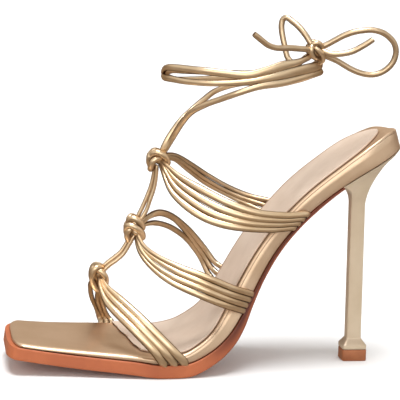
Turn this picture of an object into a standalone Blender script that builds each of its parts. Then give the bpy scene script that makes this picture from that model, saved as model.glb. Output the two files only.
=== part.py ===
"""Square-toed stiletto sandal with knotted cord straps and an ankle tie: a left shoe, in metres.

X runs from the toe (-X) to the heel (+X), -Y is the outer side of the foot and Z is up.
The origin is the middle of the forefoot's flat tread, on the floor.
"""

import math

import bpy
import numpy as np

MM = 0.001

# Sole
TOE_REACH = 83.8 * MM
HEEL_REACH = 120.1 * MM
SEAT_HEIGHT = 115.3 * MM
TOE_SPRING = 8.6 * MM
BALL_HALF = 36.4 * MM
EDGE_THICKNESS = 7.0 * MM
BOARD_DEPTH = 9.6 * MM
TOE_CORNER = 6.0 * MM
TOE_SQUARENESS = 3.8
TOE_ROLL = 0.45
HEEL_ROUND = 23.0 * MM
OUTSOLE_LEDGE = 0.9 * MM
SOLE_CHAMFER = 0.8 * MM
WRAP_RADIUS = 1.6 * MM
SOLE_STATIONS = 40
CLEARANCE = 0.3 * MM

# Sock lining
SOCK_THICKNESS = 1.0 * MM
SOCK_MARGIN = 2.2 * MM
SOCK_HEEL_MARGIN = 6.5 * MM
SOCK_FRONT_NEAR = -15.0 * MM
SOCK_FRONT_FAR = -28.0 * MM
SOCK_STATIONS = 28

# Heel and its lift
BREAST = 86.0 * MM
COLUMN_CENTRE = 99.0 * MM
COLUMN_LENGTH = 7.8 * MM
COLUMN_WIDTH = 6.6 * MM
COLUMN_LEAN = 1.0 * MM
COLUMN_TOP = 84.0 * MM
FLARE_TOP = 12.0 * MM
FLARE_BOTTOM = 8.4 * MM
LIFT_HEIGHT = 6.0 * MM
FOOT_LENGTH = 13.2 * MM
FOOT_WIDTH = 11.4 * MM
HEEL_POINTS = 24
CUP_RINGS = 8

# Cords
CORD = 3.0 * MM
CORD_SIDES = 7
END_FLATNESS = 0.6
TOE_KNOT = (-36.1 * MM, 0.5 * MM, 46.5 * MM)
MID_KNOT = (-17.6 * MM, 0.5 * MM, 70.6 * MM)
INSTEP_KNOT = (-5.8 * MM, 0.5 * MM, 107.2 * MM)
KNOTS = ((TOE_KNOT, 4.3 * MM), (MID_KNOT, 4.7 * MM), (INSTEP_KNOT, 5.0 * MM))
KNOT_SHIFT = 1.0 * MM

# Ankle ring
ANKLE_CENTRE = (35.6 * MM, 0.0)
ANKLE_HALF_LENGTH = 40.5 * MM
ANKLE_HALF_WIDTH = 30.0 * MM
ANKLE_HEIGHT = 149.0 * MM

# The sole's sections ahead of the tread: share of the toe's reach, share of the toe spring, near and far
# half widths as shares of the ball's, board depth and sole edge as shares of theirs
FOREFOOT = (
    # reach, lift, near, far, board, edge
    (1.00, 1.00, 0.735, 0.70, 0.19, 0.95),
    (0.78, 0.69, 0.78, 0.81, 0.22, 0.96),
    (0.57, 0.46, 0.84, 0.91, 0.27, 0.98),
    (0.39, 0.33, 0.92, 0.975, 0.30, 0.99),
    (0.21, 0.18, 0.98, 1.01, 0.32, 1.00),
    (0.105, 0.00, 0.995, 1.015, 0.35, 1.00),
)
# The same behind it, as shares of the heel's reach and of the seat's rise over the tread
REARFOOT = (
    # reach, lift, near, far, board, edge
    (0.05, 0.000, 0.975, 0.975, 0.57, 1.00),
    (0.10, 0.021, 0.95, 0.92, 0.64, 0.95),
    (0.165, 0.060, 0.90, 0.865, 0.72, 0.89),
    (0.225, 0.110, 0.81, 0.79, 0.81, 0.80),
    (0.275, 0.176, 0.73, 0.74, 0.89, 0.63),
    (0.318, 0.268, 0.675, 0.70, 0.91, 0.42),
    (0.375, 0.402, 0.637, 0.66, 0.87, 0.31),
    (0.44, 0.526, 0.62, 0.637, 0.83, 0.30),
    (0.515, 0.630, 0.626, 0.637, 0.82, 0.28),
    (0.60, 0.724, 0.648, 0.653, 0.87, 0.24),
    (0.70, 0.811, 0.66, 0.66, 0.93, 0.16),
    (0.80, 0.884, 0.654, 0.654, 0.98, 0.12),
    (0.90, 0.945, 0.632, 0.632, 1.00, 0.12),
    (1.00, 1.000, 0.605, 0.605, 1.00, 0.12),
)
SEAT_RISE = SEAT_HEIGHT - EDGE_THICKNESS


def clear_scene():
    for obj in list(bpy.data.objects):
        bpy.data.objects.remove(obj, do_unlink=True)


def material(name, colour, roughness, metallic=0.0):
    made = bpy.data.materials.new(name)
    made.use_nodes = True
    shader = made.node_tree.nodes["Principled BSDF"]
    shader.inputs["Base Color"].default_value = (*colour, 1.0)
    shader.inputs["Roughness"].default_value = roughness
    shader.inputs["Metallic"].default_value = metallic
    made.diffuse_color = (*colour, 1.0)
    return made


def mesh_object(name, vertices, faces, finish, smooth_angle=40):
    mesh = bpy.data.meshes.new(name)
    mesh.from_pydata([tuple(v) for v in vertices], [], faces)
    mesh.update()
    mesh.shade_smooth()
    mesh.set_sharp_from_angle(angle=math.radians(smooth_angle))
    mesh.materials.append(finish)
    made = bpy.data.objects.new(name, mesh)
    bpy.context.scene.collection.objects.link(made)
    return made


def monotone(xs, ys):
    """A smooth curve through the points that never overshoots, level wherever two neighbours are level."""
    xs, ys = np.asarray(xs, float), np.asarray(ys, float)
    step, slope = np.diff(xs), np.diff(ys) / np.diff(xs)
    tangent = np.zeros(len(xs))
    for i in range(1, len(xs) - 1):
        if slope[i - 1] * slope[i] > 0:
            before, after = 2 * step[i] + step[i - 1], step[i] + 2 * step[i - 1]
            tangent[i] = (before + after) / (before / slope[i - 1] + after / slope[i])
    tangent[0], tangent[-1] = slope[0], slope[-1]

    def value(x):
        x = np.clip(x, xs[0], xs[-1])
        i = np.clip(np.searchsorted(xs, x) - 1, 0, len(xs) - 2)
        t = (x - xs[i]) / step[i]
        rise = (1 + 2 * t) * (1 - t) ** 2 * ys[i] + t * t * (3 - 2 * t) * ys[i + 1]
        return rise + step[i] * (t * (1 - t) ** 2 * tangent[i] - t * t * (1 - t) * tangent[i + 1])

    return value


def sole_curves():
    """Height, half widths and thicknesses of the seam between sole and footbed, as functions of X."""
    ahead = [(-reach * TOE_REACH, EDGE_THICKNESS + lift * TOE_SPRING, *rest) for reach, lift, *rest in FOREFOOT]
    behind = [(reach * HEEL_REACH, EDGE_THICKNESS + lift * SEAT_RISE, *rest) for reach, lift, *rest in REARFOOT]
    xs, height, near, far, board, edge = np.array(ahead + behind).T
    return {
        "height": monotone(xs, height),
        "near": monotone(xs, near * BALL_HALF),
        "far": monotone(xs, far * BALL_HALF),
        "board": monotone(xs, board * BOARD_DEPTH),
        "edge": monotone(xs, edge * EDGE_THICKNESS),
    }


CURVES = sole_curves()


def end_round(distance, reach, squareness=2.2):
    """How much of its full width an end keeps this far from its tip."""
    share = min(max(distance / reach, 0.0), 1.0)
    return (1 - (1 - share) ** 2.2) ** (1 / squareness)


def section(x):
    """The seam's point, its upward normal, its half widths and the thicknesses at X."""
    delta = 0.5 * MM
    rise = (CURVES["height"](x + delta) - CURVES["height"](x - delta)) / (2 * delta)
    normal = np.array([-rise, 0.0, 1.0]) / math.hypot(rise, 1.0)
    round_off = end_round(x + TOE_REACH, TOE_CORNER, TOE_SQUARENESS) * end_round(HEEL_REACH - x, HEEL_ROUND)
    roll = TOE_ROLL + (1 - TOE_ROLL) * end_round(x + TOE_REACH, TOE_CORNER)
    return {
        "point": np.array([x, 0.0, float(CURVES["height"](x))]),
        "normal": normal,
        "near": float(CURVES["near"](x)) * round_off,
        "far": float(CURVES["far"](x)) * round_off,
        "board": float(CURVES["board"](x)) * roll,
        "edge": float(CURVES["edge"](x)),
    }


def stations(start, end, count, crowd_start, crowd_end):
    """X of each section: even along the seam's own length, and closer together towards a round end."""
    xs = np.linspace(start, end, 600)
    heights = np.array([CURVES["height"](x) for x in xs])
    length = np.concatenate([[0.0], np.cumsum(np.hypot(np.diff(xs), np.diff(heights)))])
    share = np.linspace(0.0, 1.0, count)
    if crowd_start:
        share = share - (1 - share) * share * (1 - share) ** 3 * 0.98
    if crowd_end:
        share = share + share * (1 - share) * share**3 * 0.98
    return np.interp(share * length[-1], length, xs)


def loft(rings, closed_ends=True):
    """Vertices and faces of rings with equal point counts, joined in order, with flat ends."""
    count = len(rings[0])
    vertices = [point for ring in rings for point in ring]
    faces = []
    for i in range(len(rings) - 1):
        for j in range(count):
            k = (j + 1) % count
            faces.append((i * count + j, i * count + k, (i + 1) * count + k, (i + 1) * count + j))
    if closed_ends:
        faces.append(tuple(range(count))[::-1])
        faces.append(tuple((len(rings) - 1) * count + j for j in range(count)))
    return vertices, faces


def place(cut, across, up):
    """A point of a section: so far across the shoe, and so far along the seam's normal."""
    return cut["point"] + cut["normal"] * up + np.array([0.0, across, 0.0])


def outsole_ring(cut):
    near, far = -cut["near"] - OUTSOLE_LEDGE, cut["far"] + OUTSOLE_LEDGE
    bottom, top = -cut["edge"], -CLEARANCE / 2
    bevel = min(SOLE_CHAMFER, 0.4 * cut["edge"], 0.4 * (far - near))
    corners = (
        (near + bevel, bottom), (far - bevel, bottom), (far, bottom + bevel),
        (far, top), (near, top), (near, bottom + bevel),
    )
    return [place(cut, across, up) for across, up in corners]


def footbed_ring(cut):
    near, far = -cut["near"], cut["far"]
    bottom, top = CLEARANCE / 2, cut["board"]
    turn = min(WRAP_RADIUS, 0.45 * (top - bottom), 0.4 * (far - near))
    corners = [(near, bottom), (far, bottom)]
    for angle in (0, 45, 90):
        lean, lift = math.cos(math.radians(angle)), math.sin(math.radians(angle))
        corners.append((far - turn + turn * lean, top - turn + turn * lift))
    for angle in (90, 45, 0):
        lean, lift = math.cos(math.radians(angle)), math.sin(math.radians(angle))
        corners.append((near + turn - turn * lean, top - turn + turn * lift))
    return [place(cut, across, up) for across, up in corners]


def make_outsole(finish):
    tip = 0.12 * MM
    xs = stations(-TOE_REACH + tip, BREAST - CLEARANCE, SOLE_STATIONS, True, False)
    return mesh_object("outsole", *loft([outsole_ring(section(x)) for x in xs]), finish)


def make_footbed(finish):
    tip = 0.12 * MM
    xs = stations(-TOE_REACH + OUTSOLE_LEDGE + tip, HEEL_REACH - tip, SOLE_STATIONS + 6, True, True)
    return mesh_object("footbed", *loft([footbed_ring(section(x)) for x in xs]), finish)


def make_sock(finish):
    """The lining: its front edge slants, so the near and far sides of a ring come from different sections."""
    tip = 0.15 * MM
    end = HEEL_REACH - SOCK_HEEL_MARGIN
    near_xs = stations(SOCK_FRONT_NEAR, end - tip, SOCK_STATIONS, False, True)
    far_xs = stations(SOCK_FRONT_FAR, end - tip, SOCK_STATIONS, False, True)
    settle = np.clip(np.linspace(0, 3.2, SOCK_STATIONS), 0, 1)
    far_xs = far_xs * (1 - settle) + near_xs * settle
    rings = []
    for near_x, far_x in zip(near_xs, far_xs):
        ring = []
        for x, side, level in ((near_x, -1, 0), (far_x, 1, 0), (far_x, 1, 1), (near_x, -1, 1)):
            cut = section(x)
            wide = cut["far"] if side > 0 else cut["near"]
            inner = (wide - SOCK_MARGIN) * end_round(end - x, HEEL_ROUND)
            up = cut["board"] + CLEARANCE + level * SOCK_THICKNESS
            ring.append(place(cut, side * inner, up))
        rings.append(ring)
    return mesh_object("sock", *loft(rings), finish)


def rounded_square(angle, half_length, half_width, power=7.0):
    """A point of a square with soft corners."""
    c, s = math.cos(angle), math.sin(angle)
    size = (abs(c) ** power + abs(s) ** power) ** (-1 / power)
    return half_length * size * c, half_width * size * s


def heel_angles():
    return [2 * math.pi * (i + 0.5) / HEEL_POINTS for i in range(HEEL_POINTS)]


def column_centre(z):
    return COLUMN_CENTRE + COLUMN_LEAN * (1 - z / COLUMN_TOP)


def seat_ring():
    """The cup's upper edge: the seam's outline from the breast to the heel's back."""
    back = HEEL_REACH - 0.4 * MM
    middle, half = (BREAST + back) / 2, (back - BREAST) / 2
    ring = []
    for angle in heel_angles():
        along, across = rounded_square(angle, 1.0, 1.0, 5.0)
        x = middle + half * along
        cut = section(x)
        wide = cut["far"] if across > 0 else cut["near"]
        edge = min(1.0, abs(across) * 1.02)
        ring.append(place(cut, math.copysign(wide * edge, across), -CLEARANCE / 2))
    return ring


def make_heel(finish):
    seat = seat_ring()
    angles = heel_angles()
    neck = []
    for angle in angles:
        x, y = rounded_square(angle, COLUMN_LENGTH / 2, COLUMN_WIDTH / 2)
        neck.append(np.array([column_centre(COLUMN_TOP) + x, y, COLUMN_TOP]))
    rings = [seat]
    for i in range(1, CUP_RINGS):
        drop = (i / CUP_RINGS) ** 1.25
        ring = []
        for top, low, angle in zip(seat, neck, angles):
            back = 0.5 + 0.5 * math.cos(angle)
            pull = 1 - (1 - drop) ** (2.3 - 0.95 * back)
            side = 1 - (1 - drop) ** 2.0
            ring.append(np.array([
                top[0] + (low[0] - top[0]) * pull,
                top[1] + (low[1] - top[1]) * side,
                top[2] + (low[2] - top[2]) * drop,
            ]))
        rings.append(ring)
    rings.append(neck)
    levels = (
        (FLARE_TOP, COLUMN_LENGTH, COLUMN_WIDTH),
        (FLARE_BOTTOM, FOOT_LENGTH, FOOT_WIDTH),
        (LIFT_HEIGHT + CLEARANCE, FOOT_LENGTH, FOOT_WIDTH),
    )
    for z, length, width in levels:
        ring = []
        for angle in angles:
            x, y = rounded_square(angle, length / 2, width / 2)
            ring.append(np.array([column_centre(z) + x, y, z]))
        rings.append(ring)
    vertices, faces = loft(rings[::-1], closed_ends=False)
    faces.append(tuple(range(HEEL_POINTS))[::-1])
    faces += seat_cap(len(rings) * HEEL_POINTS - HEEL_POINTS)
    return mesh_object("heel", vertices, faces, finish)


def seat_cap(first):
    """Strips straight across the cup, so that its top follows the curved seat."""
    half = HEEL_POINTS // 2
    strips = []
    for i in range(half - 1):
        strips.append((first + i, first + i + 1, first + HEEL_POINTS - 2 - i, first + HEEL_POINTS - 1 - i))
    return strips


def make_top_lift(finish):
    rings = []
    for z in (0.0, LIFT_HEIGHT):
        ring = []
        for angle in heel_angles():
            x, y = rounded_square(angle, FOOT_LENGTH / 2, FOOT_WIDTH / 2)
            ring.append(np.array([column_centre(0.0) + x, y, z]))
        rings.append(ring)
    return mesh_object("top_lift", *loft(rings), finish)


def smooth_path(points, count):
    """Points at even spacing on a smooth curve through the route's own points."""
    points = np.asarray(points, float)
    before, after = 2 * points[0] - points[1], 2 * points[-1] - points[-2]
    padded = np.vstack([before, points, after])
    fine = []
    for i in range(1, len(padded) - 2):
        a, b, c, d = padded[i - 1:i + 3]
        for t in np.linspace(0, 1, 12, endpoint=False):
            fine.append(0.5 * (2 * b + (c - a) * t + (2 * a - 5 * b + 4 * c - d) * t**2
                               + (3 * b - a - 3 * c + d) * t**3))
    fine.append(points[-1])
    fine = np.array(fine)
    length = np.concatenate([[0.0], np.cumsum(np.linalg.norm(np.diff(fine, axis=0), axis=1))])
    marks = np.linspace(0, length[-1], count)
    return np.stack([np.interp(marks, length, fine[:, i]) for i in range(3)], axis=1)


def tube_mesh(name, path, flatness=None, spread=None, outward=None, closed=False):
    """A cord along a path. flatness squeezes each ring along outward, and spread widens it the other way."""
    path = np.asarray(path)
    count = len(path)
    rings = []
    if closed:
        tangents = np.roll(path, -1, axis=0) - np.roll(path, 1, axis=0)
    else:
        tangents = np.gradient(path, axis=0)
    side = np.cross(tangents[0], outward if outward is not None else [0.13, 0.31, 0.94])
    for i in range(count):
        tangent = tangents[i] / np.linalg.norm(tangents[i])
        if outward is None:
            side = side - tangent * side.dot(tangent)
        else:
            side = np.cross(tangent, outward)
        side = side / np.linalg.norm(side)
        lift = np.cross(side, tangent)
        squeeze = 1.0 if flatness is None else flatness[i]
        widen = 1.0 if spread is None else spread[i]
        ring = []
        for j in range(CORD_SIDES):
            angle = 2 * math.pi * j / CORD_SIDES
            reach = side * math.cos(angle) * widen + lift * math.sin(angle) * squeeze
            ring.append(path[i] + CORD / 2 * reach)
        rings.append(ring)
    vertices, faces = loft(rings, closed_ends=not closed)
    if closed:
        last = (count - 1) * CORD_SIDES
        for j in range(CORD_SIDES):
            k = (j + 1) % CORD_SIDES
            faces.append((last + j, last + k, k, j))
    mesh = bpy.data.meshes.new(name)
    mesh.from_pydata([tuple(v) for v in vertices], [], faces)
    mesh.update()
    return mesh


# Each strap leaves its knot as a fan of cords between an upper and a lower one. A row is a point of the way to the
# sole: share of the way along the shoe, share of the way out to the edge, share of the height still left.
# The end is where on the seam the cord is tucked in.
STRAPS = (
    {
        "knot": TOE_KNOT, "side": -1, "cords": 3, "spread": 1.3,
        "upper_end": 0.047 * TOE_REACH, "lower_end": -0.083 * TOE_REACH,
        "upper": ((0.0, 0.0, 0.98), (0.10, 0.26, 0.86), (0.26, 0.54, 0.73), (0.45, 0.79, 0.57),
                  (0.66, 0.95, 0.37), (0.86, 1.03, 0.16)),
        "lower": ((0.0, 0.0, 0.98), (0.0, 0.22, 0.86), (0.08, 0.46, 0.72), (0.24, 0.68, 0.60),
                  (0.51, 0.90, 0.42), (0.81, 1.02, 0.19)),
    },
    {
        "knot": TOE_KNOT, "side": 1, "cords": 3, "spread": 1.0,
        "upper_end": -0.30 * TOE_REACH, "lower_end": -0.37 * TOE_REACH,
        "upper": ((-0.05, 0.0, 0.95), (0.08, 0.28, 0.79), (0.24, 0.58, 0.60), (0.42, 0.83, 0.41),
                  (0.66, 0.99, 0.21), (0.88, 1.05, 0.08)),
        "lower": ((-0.2, 0.0, 0.93), (-0.60, 0.29, 0.80), (-0.42, 0.58, 0.62), (-0.05, 0.82, 0.43),
                  (0.5, 1.00, 0.24), (0.85, 1.06, 0.09)),
    },
    {
        "knot": MID_KNOT, "side": -1, "cords": 4, "spread": 1.0,
        "upper_end": 0.336 * HEEL_REACH, "lower_end": 0.300 * HEEL_REACH,
        "upper": ((0.0, 0.0, 0.96), (0.05, 0.45, 0.76), (0.16, 0.82, 0.63), (0.34, 1.16, 0.50),
                  (0.58, 1.34, 0.35), (0.81, 1.25, 0.15)),
        "lower": ((0.0, 0.0, 0.93), (0.02, 0.45, 0.73), (0.11, 0.80, 0.57), (0.28, 1.16, 0.42),
                  (0.53, 1.35, 0.28), (0.79, 1.31, 0.13)),
    },
    {
        "knot": MID_KNOT, "side": 1, "cords": 3, "spread": 1.0,
        "upper_end": 0.336 * HEEL_REACH, "lower_end": 0.300 * HEEL_REACH,
        "upper": ((0.03, 0.0, 1.06), (0.13, 0.20, 1.18), (0.25, 0.42, 1.22), (0.40, 0.75, 1.08),
                  (0.57, 1.08, 0.79), (0.72, 1.24, 0.46), (0.83, 1.18, 0.18)),
        "lower": ((0.02, 0.0, 1.00), (0.13, 0.20, 1.03), (0.25, 0.44, 1.01), (0.42, 0.77, 0.90),
                  (0.60, 1.09, 0.70), (0.75, 1.26, 0.44), (0.84, 1.20, 0.20)),
    },
    {
        "knot": INSTEP_KNOT, "side": -1, "cords": 4, "spread": 1.0,
        "upper_end": 0.563 * HEEL_REACH, "lower_end": 0.508 * HEEL_REACH,
        "upper": ((0.0, 0.0, 0.97), (0.10, 0.48, 0.73), (0.24, 0.88, 0.51), (0.42, 1.17, 0.27),
                  (0.62, 1.25, 0.08), (0.84, 1.16, 0.0)),
        "lower": ((0.0, 0.0, 0.93), (0.05, 0.54, 0.58), (0.15, 0.90, 0.36), (0.32, 1.20, 0.16),
                  (0.54, 1.31, 0.05), (0.80, 1.21, 0.0)),
    },
    {
        "knot": INSTEP_KNOT, "side": 1, "cords": 3, "spread": 1.0,
        "upper_end": 0.525 * HEEL_REACH, "lower_end": 0.487 * HEEL_REACH,
        "upper": ((0.03, 0.0, 1.05), (0.14, 0.34, 1.00), (0.28, 0.76, 0.81), (0.44, 1.13, 0.56),
                  (0.62, 1.25, 0.33), (0.80, 1.18, 0.17)),
        "lower": ((0.03, 0.0, 1.00), (0.14, 0.34, 0.94), (0.28, 0.76, 0.74), (0.44, 1.13, 0.52),
                  (0.62, 1.26, 0.34), (0.80, 1.19, 0.19)),
    },
)
STRAP_POINTS = 12
END_RISE = 1.7 * MM

# The links between knots: share of the way along the shoe, offset across in cord diameters, share of the climb
LINKS = (
    (TOE_KNOT, MID_KNOT, ((0.0, -0.3, 0.0), (0.24, -0.3, 0.20), (0.46, -0.3, 0.33), (0.65, -0.3, 0.47),
                          (0.80, -0.3, 0.66), (0.95, -0.3, 0.86))),
    (TOE_KNOT, MID_KNOT, ((0.0, 0.8, 0.0), (0.24, 0.8, 0.19), (0.46, 0.8, 0.32), (0.65, 0.8, 0.45),
                          (0.80, 0.8, 0.64), (0.95, 0.8, 0.86))),
    (MID_KNOT, INSTEP_KNOT, ((0.1, -0.4, 0.08), (0.42, -0.4, 0.25), (0.58, -0.4, 0.41), (0.73, -0.4, 0.56),
                             (0.81, -0.4, 0.72), (0.85, -0.4, 0.90))),
    (MID_KNOT, INSTEP_KNOT, ((0.1, 0.8, 0.14), (0.35, 0.8, 0.31), (0.52, 0.8, 0.45), (0.65, 0.8, 0.59),
                             (0.70, 0.8, 0.74), (0.75, 0.8, 0.90))),
)
LINK_POINTS = 8

# The two ankle cords, each in two stretches. First the climb from the instep knot: share of the way to the ring's
# middle, share of the way out to its side, share of the climb. Then the turns: degrees round from the front by
# the outer side, height over the ring in cord diameters.
OUTER_CLIMB = ((0.05, 0.0, 0.08), (0.14, 0.07, 0.25), (0.22, 0.27, 0.44), (0.32, 0.50, 0.61), (0.47, 0.70, 0.72),
               (0.64, 0.84, 0.80))
OUTER_TURNS = ((80, -1.57), (95, -0.4), (112, 0.15), (128, 0.75), (145, 1.25), (165, 1.4), (185, 1.3), (210, 0.8),
               (238, 0.1), (270, -0.1), (305, 0.2), (335, 0.9), (358, 1.5), (382, 1.95), (408, 1.9), (430, 1.6),
               (446, 1.8), (460, 2.5), (473, 3.2), (486, 3.75))
INNER_CLIMB = ((0.02, 0.0, 0.08), (0.10, 0.0, 0.25), (0.23, -0.07, 0.43), (0.39, -0.20, 0.57), (0.58, -0.46, 0.69),
               (0.80, -0.80, 0.79))
INNER_TURNS = ((262, -1.9), (238, -1.7), (214, -0.7), (196, 1.1), (180, 2.3), (158, 2.55), (140, 2.4), (122, 1.9),
               (104, 1.1), (86, 0.35), (64, -0.1), (42, -0.15), (22, 0.05), (4, -0.05), (-16, -0.6), (-45, -1.1),
               (-90, -0.9), (-120, -0.4), (-145, 0.7), (-163, 2.1), (-178, 3.3))
WRAP_POINTS = 54

# Bow: each cord's own route in millimetres, from the knot outwards
BOW_KNOT = (70.4, -14.0, 164.3)
BOW_KNOT_RADIUS = 3.9 * MM
BOW_SPACING = 2.2
OUTER_END = (67.1 * MM, -16.4 * MM, 161.8 * MM)
INNER_END = (71.1 * MM, -10.6 * MM, 161.4 * MM)
BOW_ROUTES = {
    "bow_loop_right": ((73.8, -13.6, 166.7), (76.9, -14.0, 168.3), (80.6, -15.0, 170.6), (84.6, -16.0, 172.9),
                       (89.2, -17.0, 174.7), (93.9, -17.5, 175.6), (98.6, -17.5, 175.9), (103.2, -17.5, 175.0),
                       (107.0, -17.0, 173.0), (110.5, -16.5, 169.5), (111.9, -16.0, 165.0), (111.0, -15.5, 160.2),
                       (108.4, -15.0, 156.6), (104.4, -14.5, 153.9), (99.9, -14.0, 152.9), (94.7, -13.5, 153.6),
                       (89.0, -13.0, 155.8), (82.1, -12.6, 159.6), (74.4, -12.6, 162.7)),
    "bow_loop_left": ((68.4, -12.2, 167.7), (66.0, -10.0, 172.0), (62.7, -7.0, 176.2), (59.6, -4.5, 178.9),
                      (57.4, -3.0, 180.4), (55.5, -2.0, 179.6), (54.8, -2.0, 176.6), (55.1, -2.5, 172.6),
                      (56.3, -4.0, 166.6), (58.4, -7.0, 160.6), (62.1, -9.4, 158.9), (67.0, -11.8, 161.9)),
    "bow_end_right": ((73.2, -17.0, 164.8), (77.2, -19.5, 163.6), (82.1, -20.5, 163.8), (87.6, -21.0, 165.1),
                      (93.1, -21.5, 168.1), (98.3, -22.0, 171.6)),
    "bow_end_left": ((68.0, -17.6, 165.4), (60.8, -21.4, 166.1), (55.0, -24.0, 166.6), (50.0, -26.0, 166.6),
                     (46.7, -27.0, 166.9), (42.9, -28.0, 168.2), (39.6, -29.0, 170.5), (35.3, -30.0, 173.7)),
}


def sole_edge(x, side, lift, reach):
    """A point beside the footbed's flank, this far up from the seam and this far out."""
    cut = section(x)
    wide = cut["far"] if side > 0 else cut["near"]
    return place(cut, side * (wide + reach), lift)


def border_route(strap, border):
    """The upper or lower cord of a strap: its table, then its tuck beside the footbed."""
    knot, side = np.array(strap["knot"]), strap["side"]
    end = sole_edge(strap[border + "_end"], side, END_RISE, CLEARANCE + CORD / 2 * END_FLATNESS)
    points = []
    for along, across, height in strap[border]:
        points.append(np.array([
            knot[0] + (end[0] - knot[0]) * along,
            knot[1] + (end[1] - knot[1]) * across,
            end[2] + (knot[2] - end[2]) * height,
        ]))
    if side > 0:
        top = max(section(strap[border + "_end"])["board"] * 0.75, END_RISE + 1.2 * MM)
        points.append(sole_edge(strap[border + "_end"], side, top, CLEARANCE + CORD / 2))
    points.append(end)
    return np.array(points)


def strap_routes(strap):
    upper = smooth_path(border_route(strap, "upper"), STRAP_POINTS)
    lower = smooth_path(border_route(strap, "lower"), STRAP_POINTS)
    shares = np.linspace(0, 1, strap["cords"])
    return [upper + (lower - upper) * share for share in shares]


def link_route(start, end, rows):
    start, end = np.array(start), np.array(end)
    points = []
    for along, across, climb in rows:
        points.append((
            start[0] + (end[0] - start[0]) * along,
            start[1] + across * CORD,
            start[2] + (end[2] - start[2]) * climb,
        ))
    return smooth_path(points, LINK_POINTS)


def ring_point(degrees, height):
    turn = math.radians(degrees)
    return (
        ANKLE_CENTRE[0] - ANKLE_HALF_LENGTH * math.cos(turn),
        ANKLE_CENTRE[1] - ANKLE_HALF_WIDTH * math.sin(turn),
        ANKLE_HEIGHT + height * CORD,
    )


def ankle_route(climb, turns, tail=()):
    knot = np.array(INSTEP_KNOT)
    points = []
    for along, across, rise in climb:
        points.append((
            knot[0] + (ANKLE_CENTRE[0] - knot[0]) * along,
            knot[1] - ANKLE_HALF_WIDTH * across,
            knot[2] + (ANKLE_HEIGHT - knot[2]) * rise,
        ))
    points += [ring_point(degrees, height) for degrees, height in turns]
    points += tail
    return smooth_path(points, WRAP_POINTS)


def ellipsoid(name, centre, radii, rows=6, columns=10):
    rings = []
    for i in range(1, rows):
        polar = math.pi * i / rows
        ring = []
        for j in range(columns):
            turn = 2 * math.pi * j / columns
            ring.append(np.array(centre) + np.array([
                radii[0] * math.sin(polar) * math.cos(turn),
                radii[1] * math.sin(polar) * math.sin(turn),
                radii[2] * -math.cos(polar),
            ]))
        rings.append(ring)
    vertices, faces = loft(rings)
    mesh = bpy.data.meshes.new(name)
    mesh.from_pydata([tuple(v) for v in vertices], [], faces)
    mesh.update()
    return mesh


def knot_wrap(centre, radius, tilt_x, tilt_y, shift):
    """A closed turn of cord round a knot, leaning by two angles."""
    cx, sx = math.cos(math.radians(tilt_x)), math.sin(math.radians(tilt_x))
    cy, sy = math.cos(math.radians(tilt_y)), math.sin(math.radians(tilt_y))
    points = []
    for i in range(12):
        turn = 2 * math.pi * i / 12
        x, y = radius * math.cos(turn), radius * math.sin(turn)
        y, z = y * cx, y * sx
        x, z = x * cy + z * sy, -x * sy + z * cy
        points.append(np.array(centre) + np.array([x - KNOT_SHIFT, y, z + shift]))
    return np.array(points)


def upper_pieces():
    """Every cord of the upper, and the cores of its knots, as loose meshes."""
    pieces = []
    for i, strap in enumerate(STRAPS):
        share = np.linspace(0, 1, STRAP_POINTS)
        flat = np.interp(share, [0, 0.8, 1], [1, 1, END_FLATNESS])
        wide = np.interp(share, [0, 0.45, 1], [1, 1, strap["spread"]])
        for j, path in enumerate(strap_routes(strap)):
            outward = np.array([0.0, strap["side"], 0.25])
            pieces.append(tube_mesh(f"strap_{i}_{j}", path, flat, wide, outward))
    for i, (start, end, rows) in enumerate(LINKS):
        pieces.append(tube_mesh(f"link_{i}", link_route(start, end, rows)))
    pieces.append(tube_mesh("ankle_outer", ankle_route(OUTER_CLIMB, OUTER_TURNS, [OUTER_END])))
    pieces.append(tube_mesh("ankle_inner", ankle_route(INNER_CLIMB, INNER_TURNS, [INNER_END])))
    for i, (knot, size) in enumerate(KNOTS):
        pieces.append(tube_mesh(f"wrap_{i}_a", knot_wrap(knot, size * 0.85, 20, 25, 0.9 * MM), closed=True))
        pieces.append(tube_mesh(f"wrap_{i}_b", knot_wrap(knot, size * 0.8, -25, -35, -1.2 * MM), closed=True))
    return pieces


def make_upper(finish):
    """All cords united into one solid, joined at the knots and wherever they cross."""
    helpers = bpy.data.collections.new("cords")
    bpy.context.scene.collection.children.link(helpers)
    for mesh in upper_pieces():
        cord = bpy.data.objects.new(mesh.name, mesh)
        helpers.objects.link(cord)
    cores = []
    for knot, size in KNOTS:
        centre = (knot[0] - KNOT_SHIFT / 2, knot[1], knot[2])
        cores.append(bpy.data.objects.new("core", ellipsoid("core", centre, (size * 0.9, size * 0.9, size * 1.1))))
    base = cores[0]
    bpy.context.scene.collection.objects.link(base)
    for core in cores[1:]:
        helpers.objects.link(core)
    union = base.modifiers.new("join", "BOOLEAN")
    union.operation = "UNION"
    union.operand_type = "COLLECTION"
    union.collection = helpers
    union.solver = "EXACT"
    graph = bpy.context.evaluated_depsgraph_get()
    joined = bpy.data.meshes.new_from_object(base.evaluated_get(graph))
    for obj in list(helpers.objects) + [base]:
        bpy.data.objects.remove(obj, do_unlink=True)
    bpy.data.collections.remove(helpers)
    joined.materials.clear()
    joined.materials.append(finish)
    joined.shade_smooth()
    joined.set_sharp_from_angle(angle=math.radians(50))
    joined.name = "upper"
    upper = bpy.data.objects.new("upper", joined)
    bpy.context.scene.collection.objects.link(upper)
    return upper


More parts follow.
